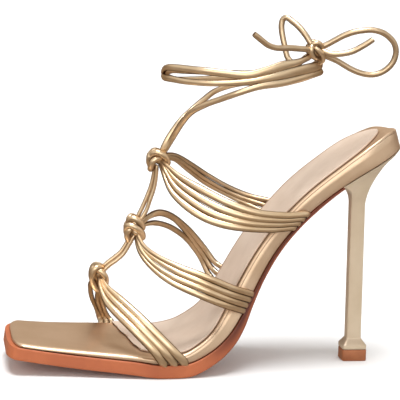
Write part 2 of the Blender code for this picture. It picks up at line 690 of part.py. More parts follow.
def make_bow_cord(name, route, finish):
    route = np.array(route) * MM
    length = np.linalg.norm(np.diff(route, axis=0), axis=1).sum()
    path = smooth_path(route, max(8, round(length / (BOW_SPACING * CORD))))
    curve = bpy.data.curves.new(name, "CURVE")
    curve.dimensions = "3D"
    curve.bevel_depth = CORD / 2
    curve.bevel_resolution = 2
    curve.use_fill_caps = True
    spline = curve.splines.new("POLY")
    spline.points.add(len(path) - 1)
    for point, place_at in zip(spline.points, path):
        point.co = (*place_at, 1.0)
    curve.materials.append(finish)
    made = bpy.data.objects.new(name, curve)
    bpy.context.scene.collection.objects.link(made)
    return made


def make_bow_knot(finish):
    centre = np.array(BOW_KNOT) * MM
    mesh = ellipsoid("bow_knot", centre, (BOW_KNOT_RADIUS,) * 3, 8, 14)
    mesh.materials.append(finish)
    mesh.shade_smooth()
    made = bpy.data.objects.new("bow_knot", mesh)
    bpy.context.scene.collection.objects.link(made)
    return made


def main():
    clear_scene()
    leather = material("gold_leather", (0.62, 0.45, 0.26), 0.34, 0.6)
    wrapped = material("gold_wrap", (0.66, 0.53, 0.36), 0.42, 0.35)
    lining = material("sock_lining", (0.80, 0.62, 0.50), 0.7)
    sole = material("orange_sole", (0.62, 0.20, 0.07), 0.45)
    lacquer = material("heel_lacquer", (0.66, 0.56, 0.40), 0.35, 0.2)
    make_outsole(sole)
    make_footbed(wrapped)
    make_sock(lining)
    make_heel(lacquer)
    make_top_lift(sole)
    make_upper(leather)
    make_bow_knot(leather)
    for name, route in BOW_ROUTES.items():
        make_bow_cord(name, route, leather)


main()
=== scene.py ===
"""Looks of the square-toed stiletto sandal, a left shoe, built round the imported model.

Metres, in the model's own frame: X runs from the toe (-X) to the heel (+X), -Y is the outer side of the foot,
which the photograph shows, and Z is up from the floor.
"""

import math

import bpy
import numpy as np
from mathutils import Matrix


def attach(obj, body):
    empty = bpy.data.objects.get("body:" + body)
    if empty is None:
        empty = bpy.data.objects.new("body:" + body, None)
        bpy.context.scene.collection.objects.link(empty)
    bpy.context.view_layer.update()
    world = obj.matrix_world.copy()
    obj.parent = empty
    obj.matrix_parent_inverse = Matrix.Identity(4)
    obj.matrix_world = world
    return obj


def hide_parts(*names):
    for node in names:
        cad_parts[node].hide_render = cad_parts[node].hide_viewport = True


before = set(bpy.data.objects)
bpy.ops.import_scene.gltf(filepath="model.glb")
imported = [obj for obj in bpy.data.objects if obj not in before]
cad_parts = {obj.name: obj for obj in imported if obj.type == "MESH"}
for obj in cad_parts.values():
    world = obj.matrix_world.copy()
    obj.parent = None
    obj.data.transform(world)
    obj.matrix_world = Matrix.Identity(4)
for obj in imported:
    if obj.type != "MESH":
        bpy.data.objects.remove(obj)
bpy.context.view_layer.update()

MM = 0.001

# Photograph's viewpoint
CAMERA_AZIMUTH = -9.15
CAMERA_ELEVATION = 9.37
CAMERA_ROLL = 1.69
CAMERA_DISTANCE = 902.4 * MM
CAMERA_LENS = 156.915
SENSOR_WIDTH = 36.0
LOOK_AT = np.array([15.56, 0.0, 85.38]) * MM

# Sole, as in the model's source
TOE_REACH = 83.8 * MM
HEEL_REACH = 120.1 * MM
SEAT_HEIGHT = 115.3 * MM
TOE_SPRING = 8.6 * MM
BALL_HALF = 36.4 * MM
EDGE_THICKNESS = 7.0 * MM
BOARD_DEPTH = 9.6 * MM
TOE_CORNER = 6.0 * MM
TOE_SQUARENESS = 3.8
TOE_ROLL = 0.45
HEEL_ROUND = 23.0 * MM
END_POWER = 2.2
OUTSOLE_LEDGE = 0.9 * MM
TOE_LEDGE = 2.4 * MM
CLEARANCE = 0.3 * MM
BREAST = 86.0 * MM
BACK_THINNING = 0.15
BACK_THINNING_REACH = 5.0 * MM
# The first and last section stop this far short of a round end
TIP = 0.12 * MM

# The wrapped board is a little thicker under the heel seat, and its rim falls off at the very back
SEAT_PAD = 1.9 * MM
SEAT_PAD_START = 85.0 * MM
SEAT_PAD_FULL = 117.0 * MM
BACK_RIM = 7.0 * MM
BACK_RIM_DROP = 1.4 * MM

# Lining on the footbed
SOCK_THICKNESS = 1.0 * MM
SOCK_MARGIN = 2.2 * MM
SOCK_FRONT_MARGIN = 12.0 * MM
SOCK_HEEL_MARGIN = 6.5 * MM
SOCK_FRONT_NEAR = -18.0 * MM
SOCK_FRONT_FAR = -25.5 * MM
SOCK_EDGE = 0.22 * MM
SOCK_WAVE = 1.0 * MM
SOCK_STATIONS = 130
SOLE_STATIONS = 170
FOOTBED_STATIONS = 200

# Heel
COLUMN_CENTRE = 99.0 * MM
COLUMN_LENGTH = 7.8 * MM
COLUMN_WIDTH = 6.6 * MM
COLUMN_LEAN = 1.0 * MM
COLUMN_TOP = 84.0 * MM
FLARE_TOP = 12.0 * MM
FLARE_BOTTOM = 8.4 * MM
LIFT_HEIGHT = 6.0 * MM
FOOT_LENGTH = 13.2 * MM
FOOT_WIDTH = 11.4 * MM
HEEL_POINTS = 72
CORNER_POWER = 9.0
SEAT_CORNER_POWER = 10.0
CUP_RINGS = 26

# Cords
CORD = 3.0 * MM
CORD_SIDES = 20
STRAP_POINTS = 84
LINK_POINTS = 40
WRAP_POINTS = 360
KNOT_POINTS = 72
END_RISE = 1.7 * MM
END_FLATNESS = 0.6
TOE_KNOT = np.array([-36.1, 0.5, 46.5]) * MM
MID_KNOT = np.array([-17.6, 0.5, 70.6]) * MM
INSTEP_KNOT = np.array([-5.8, 0.5, 107.2]) * MM
BOW_KNOT = np.array([70.4, -14.0, 164.3]) * MM
ANKLE_CENTRE = (35.6 * MM, 0.0)
ANKLE_HALF_LENGTH = 40.5 * MM
ANKLE_HALF_WIDTH = 30.0 * MM
ANKLE_HEIGHT = 149.0 * MM
SEEN_FROM = np.array([-0.16, -0.97, 0.16])
# A cord swells and leans in slow waves, and strays a little from its place in a strap
UNEVEN = 0.035
LONG_WAVE = 7.3 * MM
SHORT_WAVE = 3.1 * MM
LEAN = 0.05
LEAN_WAVE = 11 * MM
STRAY = 0.22 * MM
# Crowded cords are stacked by this, and pressed no narrower than this share of their diameter
STACKING = 0.6 * MM
NARROWEST = 0.74
LINK_WIDTH = 0.72
BOW_STEP = 0.8 * MM
SEAM_DEPTH = 0.22 * MM
TUCK_DEPTH = -1.0 * MM
TUCK_REACH = -0.9 * MM
# How full a cord's two cut ends are, from the last ring inwards
END_FULLNESS = (0.86, 0.96, 1.0)
# Painted shade along a cord's two edges, where it meets its neighbours and its outline turns away, by steps
# from its widest line
EDGE_SHADE = {0: 1.0, 1: 0.95, 2: 0.3}
# Strength of that painted edge shade on knot strands and on links
KNOT_EDGE_SHADE = 0.55
LINK_EDGE_SHADE = 0.6
# Painted shade all round the bow's cords, which tones down their highlights
BOW_SHADE = 0.24
# The far straps get painted shade inside, and over this last share of their length, where they reach the
# footbed
FAR_INNER_SHADE = 0.26
FAR_END_SHADE = 0.45
FAR_END_START = 0.93
FAR_END_LENGTH = 0.04

# Sections of the seam between sole and footbed, in thousandths of the sizes above: way from the tread to the
# toe (-) or to the heel, rise, near half width, far half width, board and edge
SECTIONS = (
    (-1000, 1000, 735, 700, 190, 950),
    (-780, 690, 780, 810, 220, 960),
    (-570, 460, 840, 910, 270, 980),
    (-390, 330, 920, 975, 300, 990),
    (-210, 180, 980, 1010, 320, 1000),
    (-105, 0, 995, 1015, 350, 1000),
    (50, 0, 975, 975, 570, 1000),
    (100, 21, 950, 920, 640, 950),
    (165, 60, 900, 865, 720, 890),
    (225, 110, 810, 790, 810, 800),
    (275, 176, 730, 740, 890, 630),
    (318, 268, 675, 700, 910, 420),
    (375, 402, 637, 660, 870, 310),
    (440, 526, 620, 637, 830, 300),
    (515, 630, 626, 637, 820, 280),
    (600, 724, 648, 653, 870, 240),
    (700, 811, 660, 660, 930, 160),
    (800, 884, 654, 654, 980, 120),
    (900, 945, 632, 632, 1000, 120),
    (1000, 1000, 605, 605, 1000, 120),
)
SEAT_RISE = SEAT_HEIGHT - EDGE_THICKNESS


# Curves and sections

def monotone(xs, ys):
    """A smooth curve through the points that never overshoots, level wherever two neighbours are level."""
    xs, ys = np.asarray(xs, float), np.asarray(ys, float)
    step, slope = np.diff(xs), np.diff(ys) / np.diff(xs)
    tangent = np.zeros(len(xs))
    for i in range(1, len(xs) - 1):
        if slope[i - 1] * slope[i] > 0:
            before, after = 2 * step[i] + step[i - 1], step[i] + 2 * step[i - 1]
            tangent[i] = (before + after) / (before / slope[i - 1] + after / slope[i])
    tangent[0], tangent[-1] = slope[0], slope[-1]

    def value(x):
        x = np.clip(x, xs[0], xs[-1])
        i = np.clip(np.searchsorted(xs, x) - 1, 0, len(xs) - 2)
        t = (x - xs[i]) / step[i]
        rise = (1 + 2 * t) * (1 - t) ** 2 * ys[i] + t * t * (3 - 2 * t) * ys[i + 1]
        return rise + step[i] * (t * (1 - t) ** 2 * tangent[i] - t * t * (1 - t) * tangent[i + 1])

    return value


def eased(curve, start, end, reach=8 * MM):
    """The curve with its corners eased over this reach either side, and its two ends kept."""
    xs = np.linspace(start, end, 1000)
    shares = np.linspace(-1, 1, 21)
    weights = np.cos(np.linspace(-0.5, 0.5, 21) * math.pi)
    weights /= weights.sum()
    values = []
    for x in xs:
        half = min(reach, x - start, end - x)
        values.append(sum(w * float(curve(x + half * share)) for w, share in zip(weights, shares)))
    return lambda x: np.interp(x, xs, values)


def sole_curves():
    """Height, half widths and thicknesses of the seam between sole and footbed, as functions of X."""
    along, lift, near, far, board, edge = np.array(SECTIONS).T / 1000
    xs = along * np.where(along < 0, TOE_REACH, HEEL_REACH)
    height = EDGE_THICKNESS + lift * np.where(along < 0, TOE_SPRING, SEAT_RISE)
    return {
        "height": eased(monotone(xs, height), xs[0], xs[-1]),
        "near": monotone(xs, near * BALL_HALF),
        "far": monotone(xs, far * BALL_HALF),
        "board": monotone(xs, board * BOARD_DEPTH),
        "edge": monotone(xs, edge * EDGE_THICKNESS),
    }


CURVES = sole_curves()


def end_round(distance, reach, squareness=END_POWER):
    """How much of its full width an end keeps this far from its tip."""
    share = min(max(distance / reach, 0.0), 1.0)
    return (1 - (1 - share) ** END_POWER) ** (1 / squareness)


def section(x, setback=0.0):
    """The seam's point at X, its upward normal, its half widths and the thicknesses above and below it.
    setback moves the toe back."""
    delta = 0.5 * MM
    rise = (CURVES["height"](x + delta) - CURVES["height"](x - delta)) / (2 * delta)
    normal = np.array([-rise, 0.0, 1.0]) / math.hypot(rise, 1.0)
    from_tip = x + TOE_REACH - setback
    round_off = end_round(from_tip, TOE_CORNER, TOE_SQUARENESS) * end_round(HEEL_REACH - x, HEEL_ROUND)
    roll = TOE_ROLL + (1 - TOE_ROLL) * end_round(from_tip, TOE_CORNER)
    board = float(CURVES["board"](x)) + SEAT_PAD * ramp(x, SEAT_PAD_START, SEAT_PAD_FULL)
    back = end_round(HEEL_REACH - x, BACK_THINNING_REACH)
    return {
        "point": np.array([x, 0.0, float(CURVES["height"](x))]),
        "normal": normal,
        "near": float(CURVES["near"](x)) * round_off,
        "far": float(CURVES["far"](x)) * round_off,
        "board": board * roll * (1 - BACK_THINNING + BACK_THINNING * back),
        "edge": float(CURVES["edge"](x)),
    }


def stations(start, end, count, crowd_start, crowd_end):
    """X of each section: even along the seam's own length, and closer together towards a round end."""
    xs = np.linspace(start, end, 600)
    heights = np.array([CURVES["height"](x) for x in xs])
    length = np.concatenate([[0.0], np.cumsum(np.hypot(np.diff(xs), np.diff(heights)))])
    share = np.linspace(0.0, 1.0, count)
    crowding = 0.98
    if crowd_start:
        share = share - (1 - share) * share * (1 - share) ** 3 * crowding
    if crowd_end:
        share = share + share * (1 - share) * share**3 * crowding
    return np.interp(share * length[-1], length, xs)


def place(cut, across, up):
    """A point of a section: so far across the shoe, and so far along the seam's normal."""
    return cut["point"] + cut["normal"] * up + np.array([0.0, across, 0.0])


def ramp(x, start, end):
    """Smooth step from 0 at start to 1 at end."""
    t = min(max((x - start) / (end - start), 0.0), 1.0)
    return t * t * (3 - 2 * t)


# Meshes

class Shape:
    """Vertices, faces, face-corner coordinates and painted shade values of one piece."""

    def __init__(self):
        self.vertices, self.faces, self.corners, self.shades = [], [], [], []

    def skin(self, rings, marks=None, shades=None, closed=False):
        """Joins rings of equal point counts in order. marks says how far along the piece each ring is."""
        first, count = len(self.vertices), len(rings[0])
        marks = np.zeros(len(rings)) if marks is None else marks
        for i, ring in enumerate(rings):
            self.vertices += [tuple(point) for point in ring]
            self.shades += [0.0] * count if shades is None else list(shades[i])
        for i in range(len(rings) if closed else len(rings) - 1):
            after = (i + 1) % len(rings)
            end = marks[i + 1] if i + 1 < len(rings) else marks[i] + (marks[1] - marks[0])
            for j in range(count):
                k = (j + 1) % count
                self.faces.append((first + i * count + j, first + i * count + k,
                                   first + after * count + k, first + after * count + j))
                low, high = j / count, (j + 1) / count
                self.corners += [(marks[i], low), (marks[i], high), (end, high), (end, low)]
        if not closed:
            last = first + (len(rings) - 1) * count
            self.cap(range(first, first + count), True)
            self.cap(range(last, last + count), False)

    def cap(self, indices, turned):
        """Closes a ring with a fan round its middle."""
        indices = list(indices)
        centre = len(self.vertices)
        self.vertices.append(tuple(np.mean([self.vertices[i] for i in indices], axis=0)))
        self.shades.append(self.shades[indices[0]])
        for j in range(len(indices)):
            a, b = indices[j], indices[(j + 1) % len(indices)]
            self.faces.append((b, a, centre) if turned else (a, b, centre))
            self.corners += [(0.0, 0.0)] * 3

    def piece(self, name, finish, replaced=(), sharp=50):
        mesh = bpy.data.meshes.new(name)
        mesh.from_pydata(self.vertices, [], self.faces)
        layer = mesh.uv_layers.new(name="UVMap")
        layer.data.foreach_set("uv", np.array(self.corners, float).ravel())
        values = mesh.attributes.new("shade", "FLOAT", "POINT")
        values.data.foreach_set("value", np.array(self.shades, float))
        mesh.update()
        mesh.shade_smooth()
        mesh.set_sharp_from_angle(angle=math.radians(sharp))
        mesh.materials.append(finish)
        made = bpy.data.objects.new(name, mesh)
        bpy.context.scene.collection.objects.link(made)
        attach(made, "root")
        if replaced:
            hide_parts(*replaced)
        return made


# Materials

def set_inputs(node, values):
    for name, value in values.items():
        node.inputs[name].default_value = value


def add(tree, kind, links, values=None, **settings):
    """A node with its own settings, and its sockets set and linked by name or number."""
    made = tree.nodes.new(kind)
    for name, value in settings.items():
        setattr(made, name, value)
    set_inputs(made, values or {})
    for name, source in links.items():
        tree.links.new(source, made.inputs[name])
    return made


def colour_ramp(tree, source, stops):
    made = tree.nodes.new("ShaderNodeValToRGB")
    elements = made.color_ramp.elements
    while len(elements) < len(stops):
        elements.new(0.5)
    for element, (position, colour) in zip(elements, stops):
        element.position = position
        element.color = (*colour, 1.0)
    tree.links.new(source, made.inputs["Fac"])
    return made.outputs["Color"]


def surface(name, light, dark, shaded, grain, depth, patch, settings,
            stretch=(1.0, 1.0, 1.0), pores=0.6, octaves=4.0):
    """A leather, rubber or lacquer: two tones in soft patches, painted shade in the shaded colour where the
    mesh asks for it, and a grain of the given size and depth. stretch draws the grain out, and pores is how
    pitted it is."""
    made = bpy.data.materials.new(name)
    made.use_nodes = True
    tree = made.node_tree
    shader = tree.nodes["Principled BSDF"]
    set_inputs(shader, settings)
    rough = settings["Roughness"]
    coordinates = tree.nodes.new("ShaderNodeTexCoord").outputs["Object"]
    patches = add(tree, "ShaderNodeTexNoise", {"Vector": coordinates},
                  {"Scale": 1 / patch, "Detail": 3.0, "Roughness": 0.55})
    tone = colour_ramp(tree, patches.outputs["Fac"], ((0.35, dark), (0.62, light)))
    # The mesh's shade values mix in the shaded colour: painted shade
    shade = add(tree, "ShaderNodeAttribute", {}, attribute_name="shade")
    colour = add(tree, "ShaderNodeMix", {"Factor": shade.outputs["Fac"], "A": tone}, {"B": (*shaded, 1.0)},
                 data_type="RGBA")
    drawn = add(tree, "ShaderNodeMapping", {"Vector": coordinates}, {"Scale": stretch}).outputs["Vector"]
    cells = add(tree, "ShaderNodeTexVoronoi", {"Vector": drawn}, {"Scale": 1 / grain})
    fine = add(tree, "ShaderNodeTexNoise", {"Vector": drawn}, {"Scale": 0.6 / grain, "Detail": octaves})
    height = add(tree, "ShaderNodeMath", {0: cells.outputs["Distance"], 2: fine.outputs["Fac"]}, {1: pores},
                 operation="MULTIPLY_ADD")
    bump = add(tree, "ShaderNodeBump", {"Height": height.outputs["Value"]},
               {"Strength": 1.0, "Distance": depth})
    sheen = add(tree, "ShaderNodeMapRange", {"Value": fine.outputs["Fac"]},
                {"To Min": rough - 0.05, "To Max": rough + 0.07})
    tree.links.new(colour.outputs["Result"], shader.inputs["Base Color"])
    tree.links.new(bump.outputs["Normal"], shader.inputs["Normal"])
    tree.links.new(sheen.outputs["Result"], shader.inputs["Roughness"])
    return made


def make_materials():
    # The third colour of each surface is its painted shade colour
    return {
        "cord": surface(
            "cord_leather", (0.88, 0.70, 0.48), (0.82, 0.62, 0.40), (0.09, 0.04, 0.018),
            1.6 * MM, 0.006 * MM, 12 * MM,
            {"Roughness": 0.31, "Metallic": 0.9, "Specular Tint": (0.56, 0.36, 0.2, 1.0)},
            pores=0.0, octaves=1.0),
        "wrap": surface(
            "wrap_leather", (0.76, 0.58, 0.42), (0.70, 0.52, 0.36), (0.13, 0.06, 0.03),
            0.6 * MM, 0.004 * MM, 22 * MM,
            {"Roughness": 0.38, "Metallic": 0.85, "Specular Tint": (0.72, 0.54, 0.38, 1.0)}),
        "sock": surface(
            "sock_leather", (0.635, 0.515, 0.42), (0.56, 0.44, 0.35), (0.34, 0.20, 0.12),
            0.9 * MM, 0.015 * MM, 26 * MM, {"Roughness": 0.62, "Specular IOR Level": 0.35}),
        "sole": surface(
            "sole_rubber", (0.46, 0.128, 0.046), (0.41, 0.108, 0.040), (0.075, 0.012, 0.006),
            0.35 * MM, 0.01 * MM, 18 * MM, {"Roughness": 0.42, "Specular IOR Level": 0.45}),
        "heel": surface(
            "heel_lacquer", (0.70, 0.58, 0.43), (0.65, 0.53, 0.38), (0.16, 0.09, 0.05),
            0.25 * MM, 0.006 * MM, 16 * MM,
            {"Roughness": 0.33, "Metallic": 0.35, "Coat Weight": 0.25}, stretch=(1.0, 1.0, 0.12)),
        "lift": surface(
            "lift_rubber", (0.36, 0.125, 0.048), (0.31, 0.105, 0.040), (0.12, 0.03, 0.012),
            0.35 * MM, 0.01 * MM, 8 * MM, {"Roughness": 0.42, "Specular IOR Level": 0.45}),
    }


# Camera, light and floor

def make_camera():
    """The photograph's viewpoint: the camera looks at LOOK_AT, turned a little on its own axis."""
    azimuth, elevation, roll = (math.radians(a) for a in (CAMERA_AZIMUTH, CAMERA_ELEVATION, CAMERA_ROLL))
    back = np.array([
        math.sin(azimuth) * math.cos(elevation),
        -math.cos(azimuth) * math.cos(elevation),
        math.sin(elevation),
    ])
    level = np.array([math.cos(azimuth), math.sin(azimuth), 0.0])
    upright = np.cross(back, level)
    right = math.cos(roll) * level + math.sin(roll) * upright
    up = np.cross(back, right)
    matrix = np.eye(4)
    matrix[:3, 0], matrix[:3, 1], matrix[:3, 2] = right, up, back
    matrix[:3, 3] = LOOK_AT + back * CAMERA_DISTANCE
    camera = bpy.data.cameras.new("camera")
    camera.lens = CAMERA_LENS
    camera.sensor_width = SENSOR_WIDTH
    camera.clip_start = 0.02
    camera.clip_end = 40.0
    made = bpy.data.objects.new("camera", camera)
    made.matrix_world = Matrix(matrix.tolist())
    bpy.context.scene.collection.objects.link(made)
    bpy.context.scene.camera = made


def area_light(name, position, target, size, watts, colour):
    """A rectangular light that faces the target."""
    light = bpy.data.lights.new(name, "AREA")
    light.shape = "RECTANGLE"
    light.size, light.size_y = size
    light.energy = watts
    light.color = colour
    made = bpy.data.objects.new(name, light)
    back = np.array(position, float) - np.array(target, float)
    back /= np.linalg.norm(back)
    right = np.cross([0.0, 0.0, 1.0], back)
    right /= np.linalg.norm(right)
    matrix = np.eye(4)
    matrix[:3, 0], matrix[:3, 1], matrix[:3, 2] = right, np.cross(back, right), back
    matrix[:3, 3] = position
    made.matrix_world = Matrix(matrix.tolist())
    bpy.context.scene.collection.objects.link(made)


def make_lights():
    """A broad sun from almost straight above, a warm fill from the viewer's side and a faint light behind."""
    sun = bpy.data.lights.new("key", "SUN")
    sun.energy = 3.1
    sun.angle = math.radians(30)
    key = bpy.data.objects.new("key", sun)
    key.rotation_euler = (math.radians(9), math.radians(-2), 0.0)
    bpy.context.scene.collection.objects.link(key)
    area_light("front_fill", position=(-0.4, -1.9, 1.0), target=(0.02, 0.0, 0.08),
               size=(2.4, 1.2), watts=16.0, colour=(1.0, 0.96, 0.91))
    area_light("back_rim", position=(0.5, 1.2, 1.0), target=(0.02, 0.0, 0.1),
               size=(1.0, 0.5), watts=1.0, colour=(1.0, 0.98, 0.95))


def make_world():
    """A room for the gold to mirror: bright high up, greyer at the top, dark and warm near the horizon, and a
    warm floor. Its top leans towards the viewer."""
    world = bpy.data.worlds.new("room")
    bpy.context.scene.world = world
    world.use_nodes = True
    tree = world.node_tree
    direction = tree.nodes.new("ShaderNodeTexCoord").outputs["Generated"]
    facing = add(tree, "ShaderNodeVectorMath", {0: direction}, {1: (0.0, -0.33, 0.94)},
                 operation="DOT_PRODUCT")
    height = add(tree, "ShaderNodeMapRange", {"Value": facing.outputs["Value"]}, {"From Min": -1.0})
    colour = colour_ramp(tree, height.outputs["Result"], (
        (0.0, (0.36, 0.27, 0.19)),
        (0.25, (0.36, 0.26, 0.18)),
        (0.42, (0.19, 0.13, 0.085)),
        (0.56, (0.46, 0.37, 0.28)),
        (0.72, (0.98, 0.93, 0.86)),
        (0.86, (0.62, 0.59, 0.55)),
        (1.0, (0.42, 0.40, 0.38)),
    ))
    tree.links.new(colour, tree.nodes["Background"].inputs["Color"])
    tree.nodes["Background"].inputs["Strength"].default_value = 0.86


def make_stage():
    """A white round floor that bends up into a wall far off, left out of the gold's reflections."""
    flat, bend, wall, sides, steps = 7.0, 2.0, 5.0, 64, 8
    profile = [(0.02, 0.0), (1.0, 0.0), (4.0, 0.0), (flat, 0.0)]
    for i in range(1, steps + 1):
        turn = math.pi / 2 * i / steps
        profile.append((flat + bend * math.sin(turn), bend - bend * math.cos(turn)))
    profile.append((flat + bend, wall))
    rings = []
    for radius, height in profile:
        rings.append([(radius * math.cos(a), radius * math.sin(a), height)
                      for a in np.linspace(0, 2 * math.pi, sides, endpoint=False)])
    shape = Shape()
    shape.skin(rings[::-1])
    # The fan over the wall's upper ring is left out. It comes after the bands and before the floor's middle.
    bands = sides * (len(profile) - 1)
    shape.faces = shape.faces[:bands] + shape.faces[bands + sides:]
    mesh = bpy.data.meshes.new("studio_floor")
    mesh.from_pydata(shape.vertices, [], shape.faces)
    mesh.update()
    mesh.shade_smooth()
    paint = bpy.data.materials.new("studio_white")
    paint.use_nodes = True
    set_inputs(paint.node_tree.nodes["Principled BSDF"], {
        "Base Color": (0.76, 0.77, 0.78, 1.0),
        "Roughness": 0.9,
        "Specular IOR Level": 0.0,
        "Emission Color": (1.0, 1.0, 1.0, 1.0),
        "Emission Strength": 0.02,
    })
    mesh.materials.append(paint)
    floor = bpy.data.objects.new("studio_floor", mesh)
    bpy.context.scene.collection.objects.link(floor)
    floor.visible_glossy = False
    bpy.context.scene.view_settings.view_transform = "Standard"


# Cord routes, as in the model's source

def smooth_path(points, count, closed=False):
    """Points at even spacing on a smooth curve through the route's own points."""
    points = np.asarray(points, float)
    if closed:
        padded = np.vstack([points[-1], points, points[:2]])
    else:
        padded = np.vstack([2 * points[0] - points[1], points, 2 * points[-1] - points[-2]])
    fine = []
    for i in range(1, len(padded) - 2):
        a, b, c, d = padded[i - 1:i + 3]
        for t in np.linspace(0, 1, 12, endpoint=False):
            fine.append(0.5 * (2 * b + (c - a) * t + (2 * a - 5 * b + 4 * c - d) * t**2
                               + (3 * b - a - 3 * c + d) * t**3))
    fine.append(padded[-2])
    fine = np.array(fine)
    length = np.concatenate([[0.0], np.cumsum(np.linalg.norm(np.diff(fine, axis=0), axis=1))])
    marks = np.linspace(0, length[-1], count + 1)[:-1] if closed else np.linspace(0, length[-1], count)
    return np.stack([np.interp(marks, length, fine[:, i]) for i in range(3)], axis=1)


# A row is a point of the way to the sole, in per cent: way along the shoe, way out to the edge, and height
# still left. fullest is a cord's greatest width in diameters, spread widens it towards the sole, and bunched
# is how far the cords crowd towards the strap's upper side.
STRAPS = (
    {
        "name": "strap_toe_near", "knot": TOE_KNOT, "side": -1, "cords": 3, "spread": 1.15,
        "fullest": 1.35, "bunched": 0.0,
        "upper_end": 0.047 * TOE_REACH, "lower_end": -0.083 * TOE_REACH,
        "upper": ((0, 0, 98), (10, 26, 86), (26, 54, 73), (45, 79, 57), (66, 95, 37), (86, 103, 16)),
        "lower": ((0, 0, 98), (0, 22, 86), (8, 46, 72), (24, 68, 60), (51, 90, 42), (81, 102, 19)),
    },
    {
        "name": "strap_toe_far", "knot": TOE_KNOT, "side": 1, "cords": 3, "spread": 1.0,
        "fullest": 1.0, "bunched": 0.6,
        "upper_end": -0.30 * TOE_REACH, "lower_end": -0.37 * TOE_REACH,
        "upper": ((-5, 0, 95), (8, 28, 79), (24, 58, 60), (42, 83, 41), (66, 99, 21), (88, 105, 8)),
        "lower": ((-20, 0, 93), (-60, 29, 80), (-42, 58, 62), (-5, 82, 43), (50, 100, 24), (85, 106, 9)),
    },
    {
        "name": "strap_mid_near", "knot": MID_KNOT, "side": -1, "cords": 4, "spread": 1.0,
        "fullest": 1.3, "bunched": 0.0,
        "upper_end": 0.336 * HEEL_REACH, "lower_end": 0.300 * HEEL_REACH,
        "upper": ((0, 0, 96), (5, 45, 76), (16, 82, 63), (34, 116, 50), (58, 134, 35), (81, 125, 15)),
        "lower": ((0, 0, 93), (2, 45, 73), (11, 80, 57), (28, 116, 42), (53, 135, 28), (79, 131, 13)),
    },
    {
        "name": "strap_mid_far", "knot": MID_KNOT, "side": 1, "cords": 3, "spread": 1.0,
        "fullest": 1.0, "bunched": 0.75,
        "upper_end": 0.336 * HEEL_REACH, "lower_end": 0.300 * HEEL_REACH,
        "upper": ((3, 0, 106), (13, 20, 118), (25, 42, 122), (40, 75, 108), (57, 108, 79), (72, 124, 46),
                  (83, 118, 18)),
        "lower": ((2, 0, 100), (13, 20, 103), (25, 44, 101), (42, 77, 90), (60, 109, 70), (75, 126, 44),
                  (84, 120, 20)),
    },
    {
        "name": "strap_instep_near", "knot": INSTEP_KNOT, "side": -1, "cords": 4, "spread": 1.0,
        "fullest": 1.3, "bunched": 0.0,
        "upper_end": 0.563 * HEEL_REACH, "lower_end": 0.508 * HEEL_REACH,
        "upper": ((0, 0, 97), (10, 48, 73), (24, 88, 51), (42, 117, 27), (62, 125, 8), (84, 116, 0)),
        "lower": ((0, 0, 93), (5, 54, 58), (15, 90, 36), (32, 120, 16), (54, 131, 5), (80, 121, 0)),
    },
    {
        "name": "strap_instep_far", "knot": INSTEP_KNOT, "side": 1, "cords": 3, "spread": 1.0,
        "fullest": 1.0, "bunched": 0.0,
        "upper_end": 0.525 * HEEL_REACH, "lower_end": 0.487 * HEEL_REACH,
        "upper": ((3, 0, 105), (14, 34, 100), (28, 76, 81), (44, 113, 56), (62, 125, 33), (80, 118, 17)),
        "lower": ((3, 0, 100), (14, 34, 94), (28, 76, 74), (44, 113, 52), (62, 126, 34), (80, 119, 19)),
    },
)

# Links between knots: how far it lies across, in cord diameters, and how far it stands off to one side. A row
# is the way along the shoe and the way up, in per cent.
LINKS = {
    "link_lower_near": (TOE_KNOT, MID_KNOT, -0.3, -0.7 * MM, (
        (0, 0), (24, 20), (46, 33), (65, 47), (80, 66), (95, 86))),
    "link_lower_far": (TOE_KNOT, MID_KNOT, 0.8, 0.7 * MM, (
        (0, 0), (24, 19), (46, 32), (65, 45), (80, 64), (95, 86))),
    "link_upper_near": (MID_KNOT, INSTEP_KNOT, -0.4, -0.15 * MM, (
        (10, 8), (42, 25), (58, 41), (73, 56), (81, 72), (85, 90))),
    "link_upper_far": (MID_KNOT, INSTEP_KNOT, 0.8, 0.15 * MM, (
        (10, 14), (35, 31), (52, 45), (67, 59), (77, 74), (83, 90))),
}

# Ankle cords, each with its climb, its turns, its end at the bow in millimetres, and its widths. The climb,
# in per cent: way to the ring's middle, way out to its side, and way up. The turns: degrees round from the
# front by the outer side, and height over the ring in cord diameters. The widths, where the cord is pressed
# against the leg: degrees round from the front, the way that the cord goes, and width in diameters.
ANKLE_CORDS = {
    "ankle_outer": (
        ((5, 0, 8), (14, 7, 25), (22, 27, 44), (32, 50, 61), (47, 70, 72), (64, 84, 80)),
        ((80, -1.57), (95, -0.4), (112, 0.15), (128, 0.75), (145, 1.25), (165, 1.4), (185, 1.3), (210, 0.8),
         (238, 0.1), (270, -0.1), (305, 0.25), (325, 0.6), (342, 0.4), (351, 0.6), (359, 1.1), (368, 1.65),
         (382, 1.95), (408, 1.9), (430, 1.6), (446, 1.4), (460, 2.15), (473, 3.05), (486, 3.55)),
        (67.1, -16.4, 161.8),
        ((80, 1.05), (92, 1.15), (110, 1.32), (135, 1.28), (156, 1.05), (195, 1.0), (340, 1.0), (382, 1.15),
         (430, 1.3), (452, 1.45), (470, 1.65), (480, 1.4), (490, 1.1)),
    ),
    "ankle_inner": (
        ((2, 0, 8), (10, 0, 25), (23, -7, 43), (39, -20, 57), (58, -46, 69), (80, -80, 79)),
        ((262, -1.9), (238, -1.7), (214, -0.7), (196, 1.1), (180, 2.3), (158, 2.55), (140, 2.4), (122, 1.9),
         (104, 1.1), (86, 0.35), (64, -0.1), (42, -0.15), (22, 0.0), (6, -0.05), (-5, 0.1), (-16, 0.0),
         (-30, -0.6), (-45, -1.1), (-90, -0.9), (-120, -0.4), (-145, 0.7), (-163, 2.1), (-178, 3.3)),
        (71.1, -10.6, 161.4),
        ((98, 1.0), (164, 1.0), (185, 1.25), (205, 1.6), (225, 1.85), (241, 1.85), (250, 1.5), (268, 1.05),
         (300, 1.05), (360, 1.15), (390, 1.0)),
    ),
}

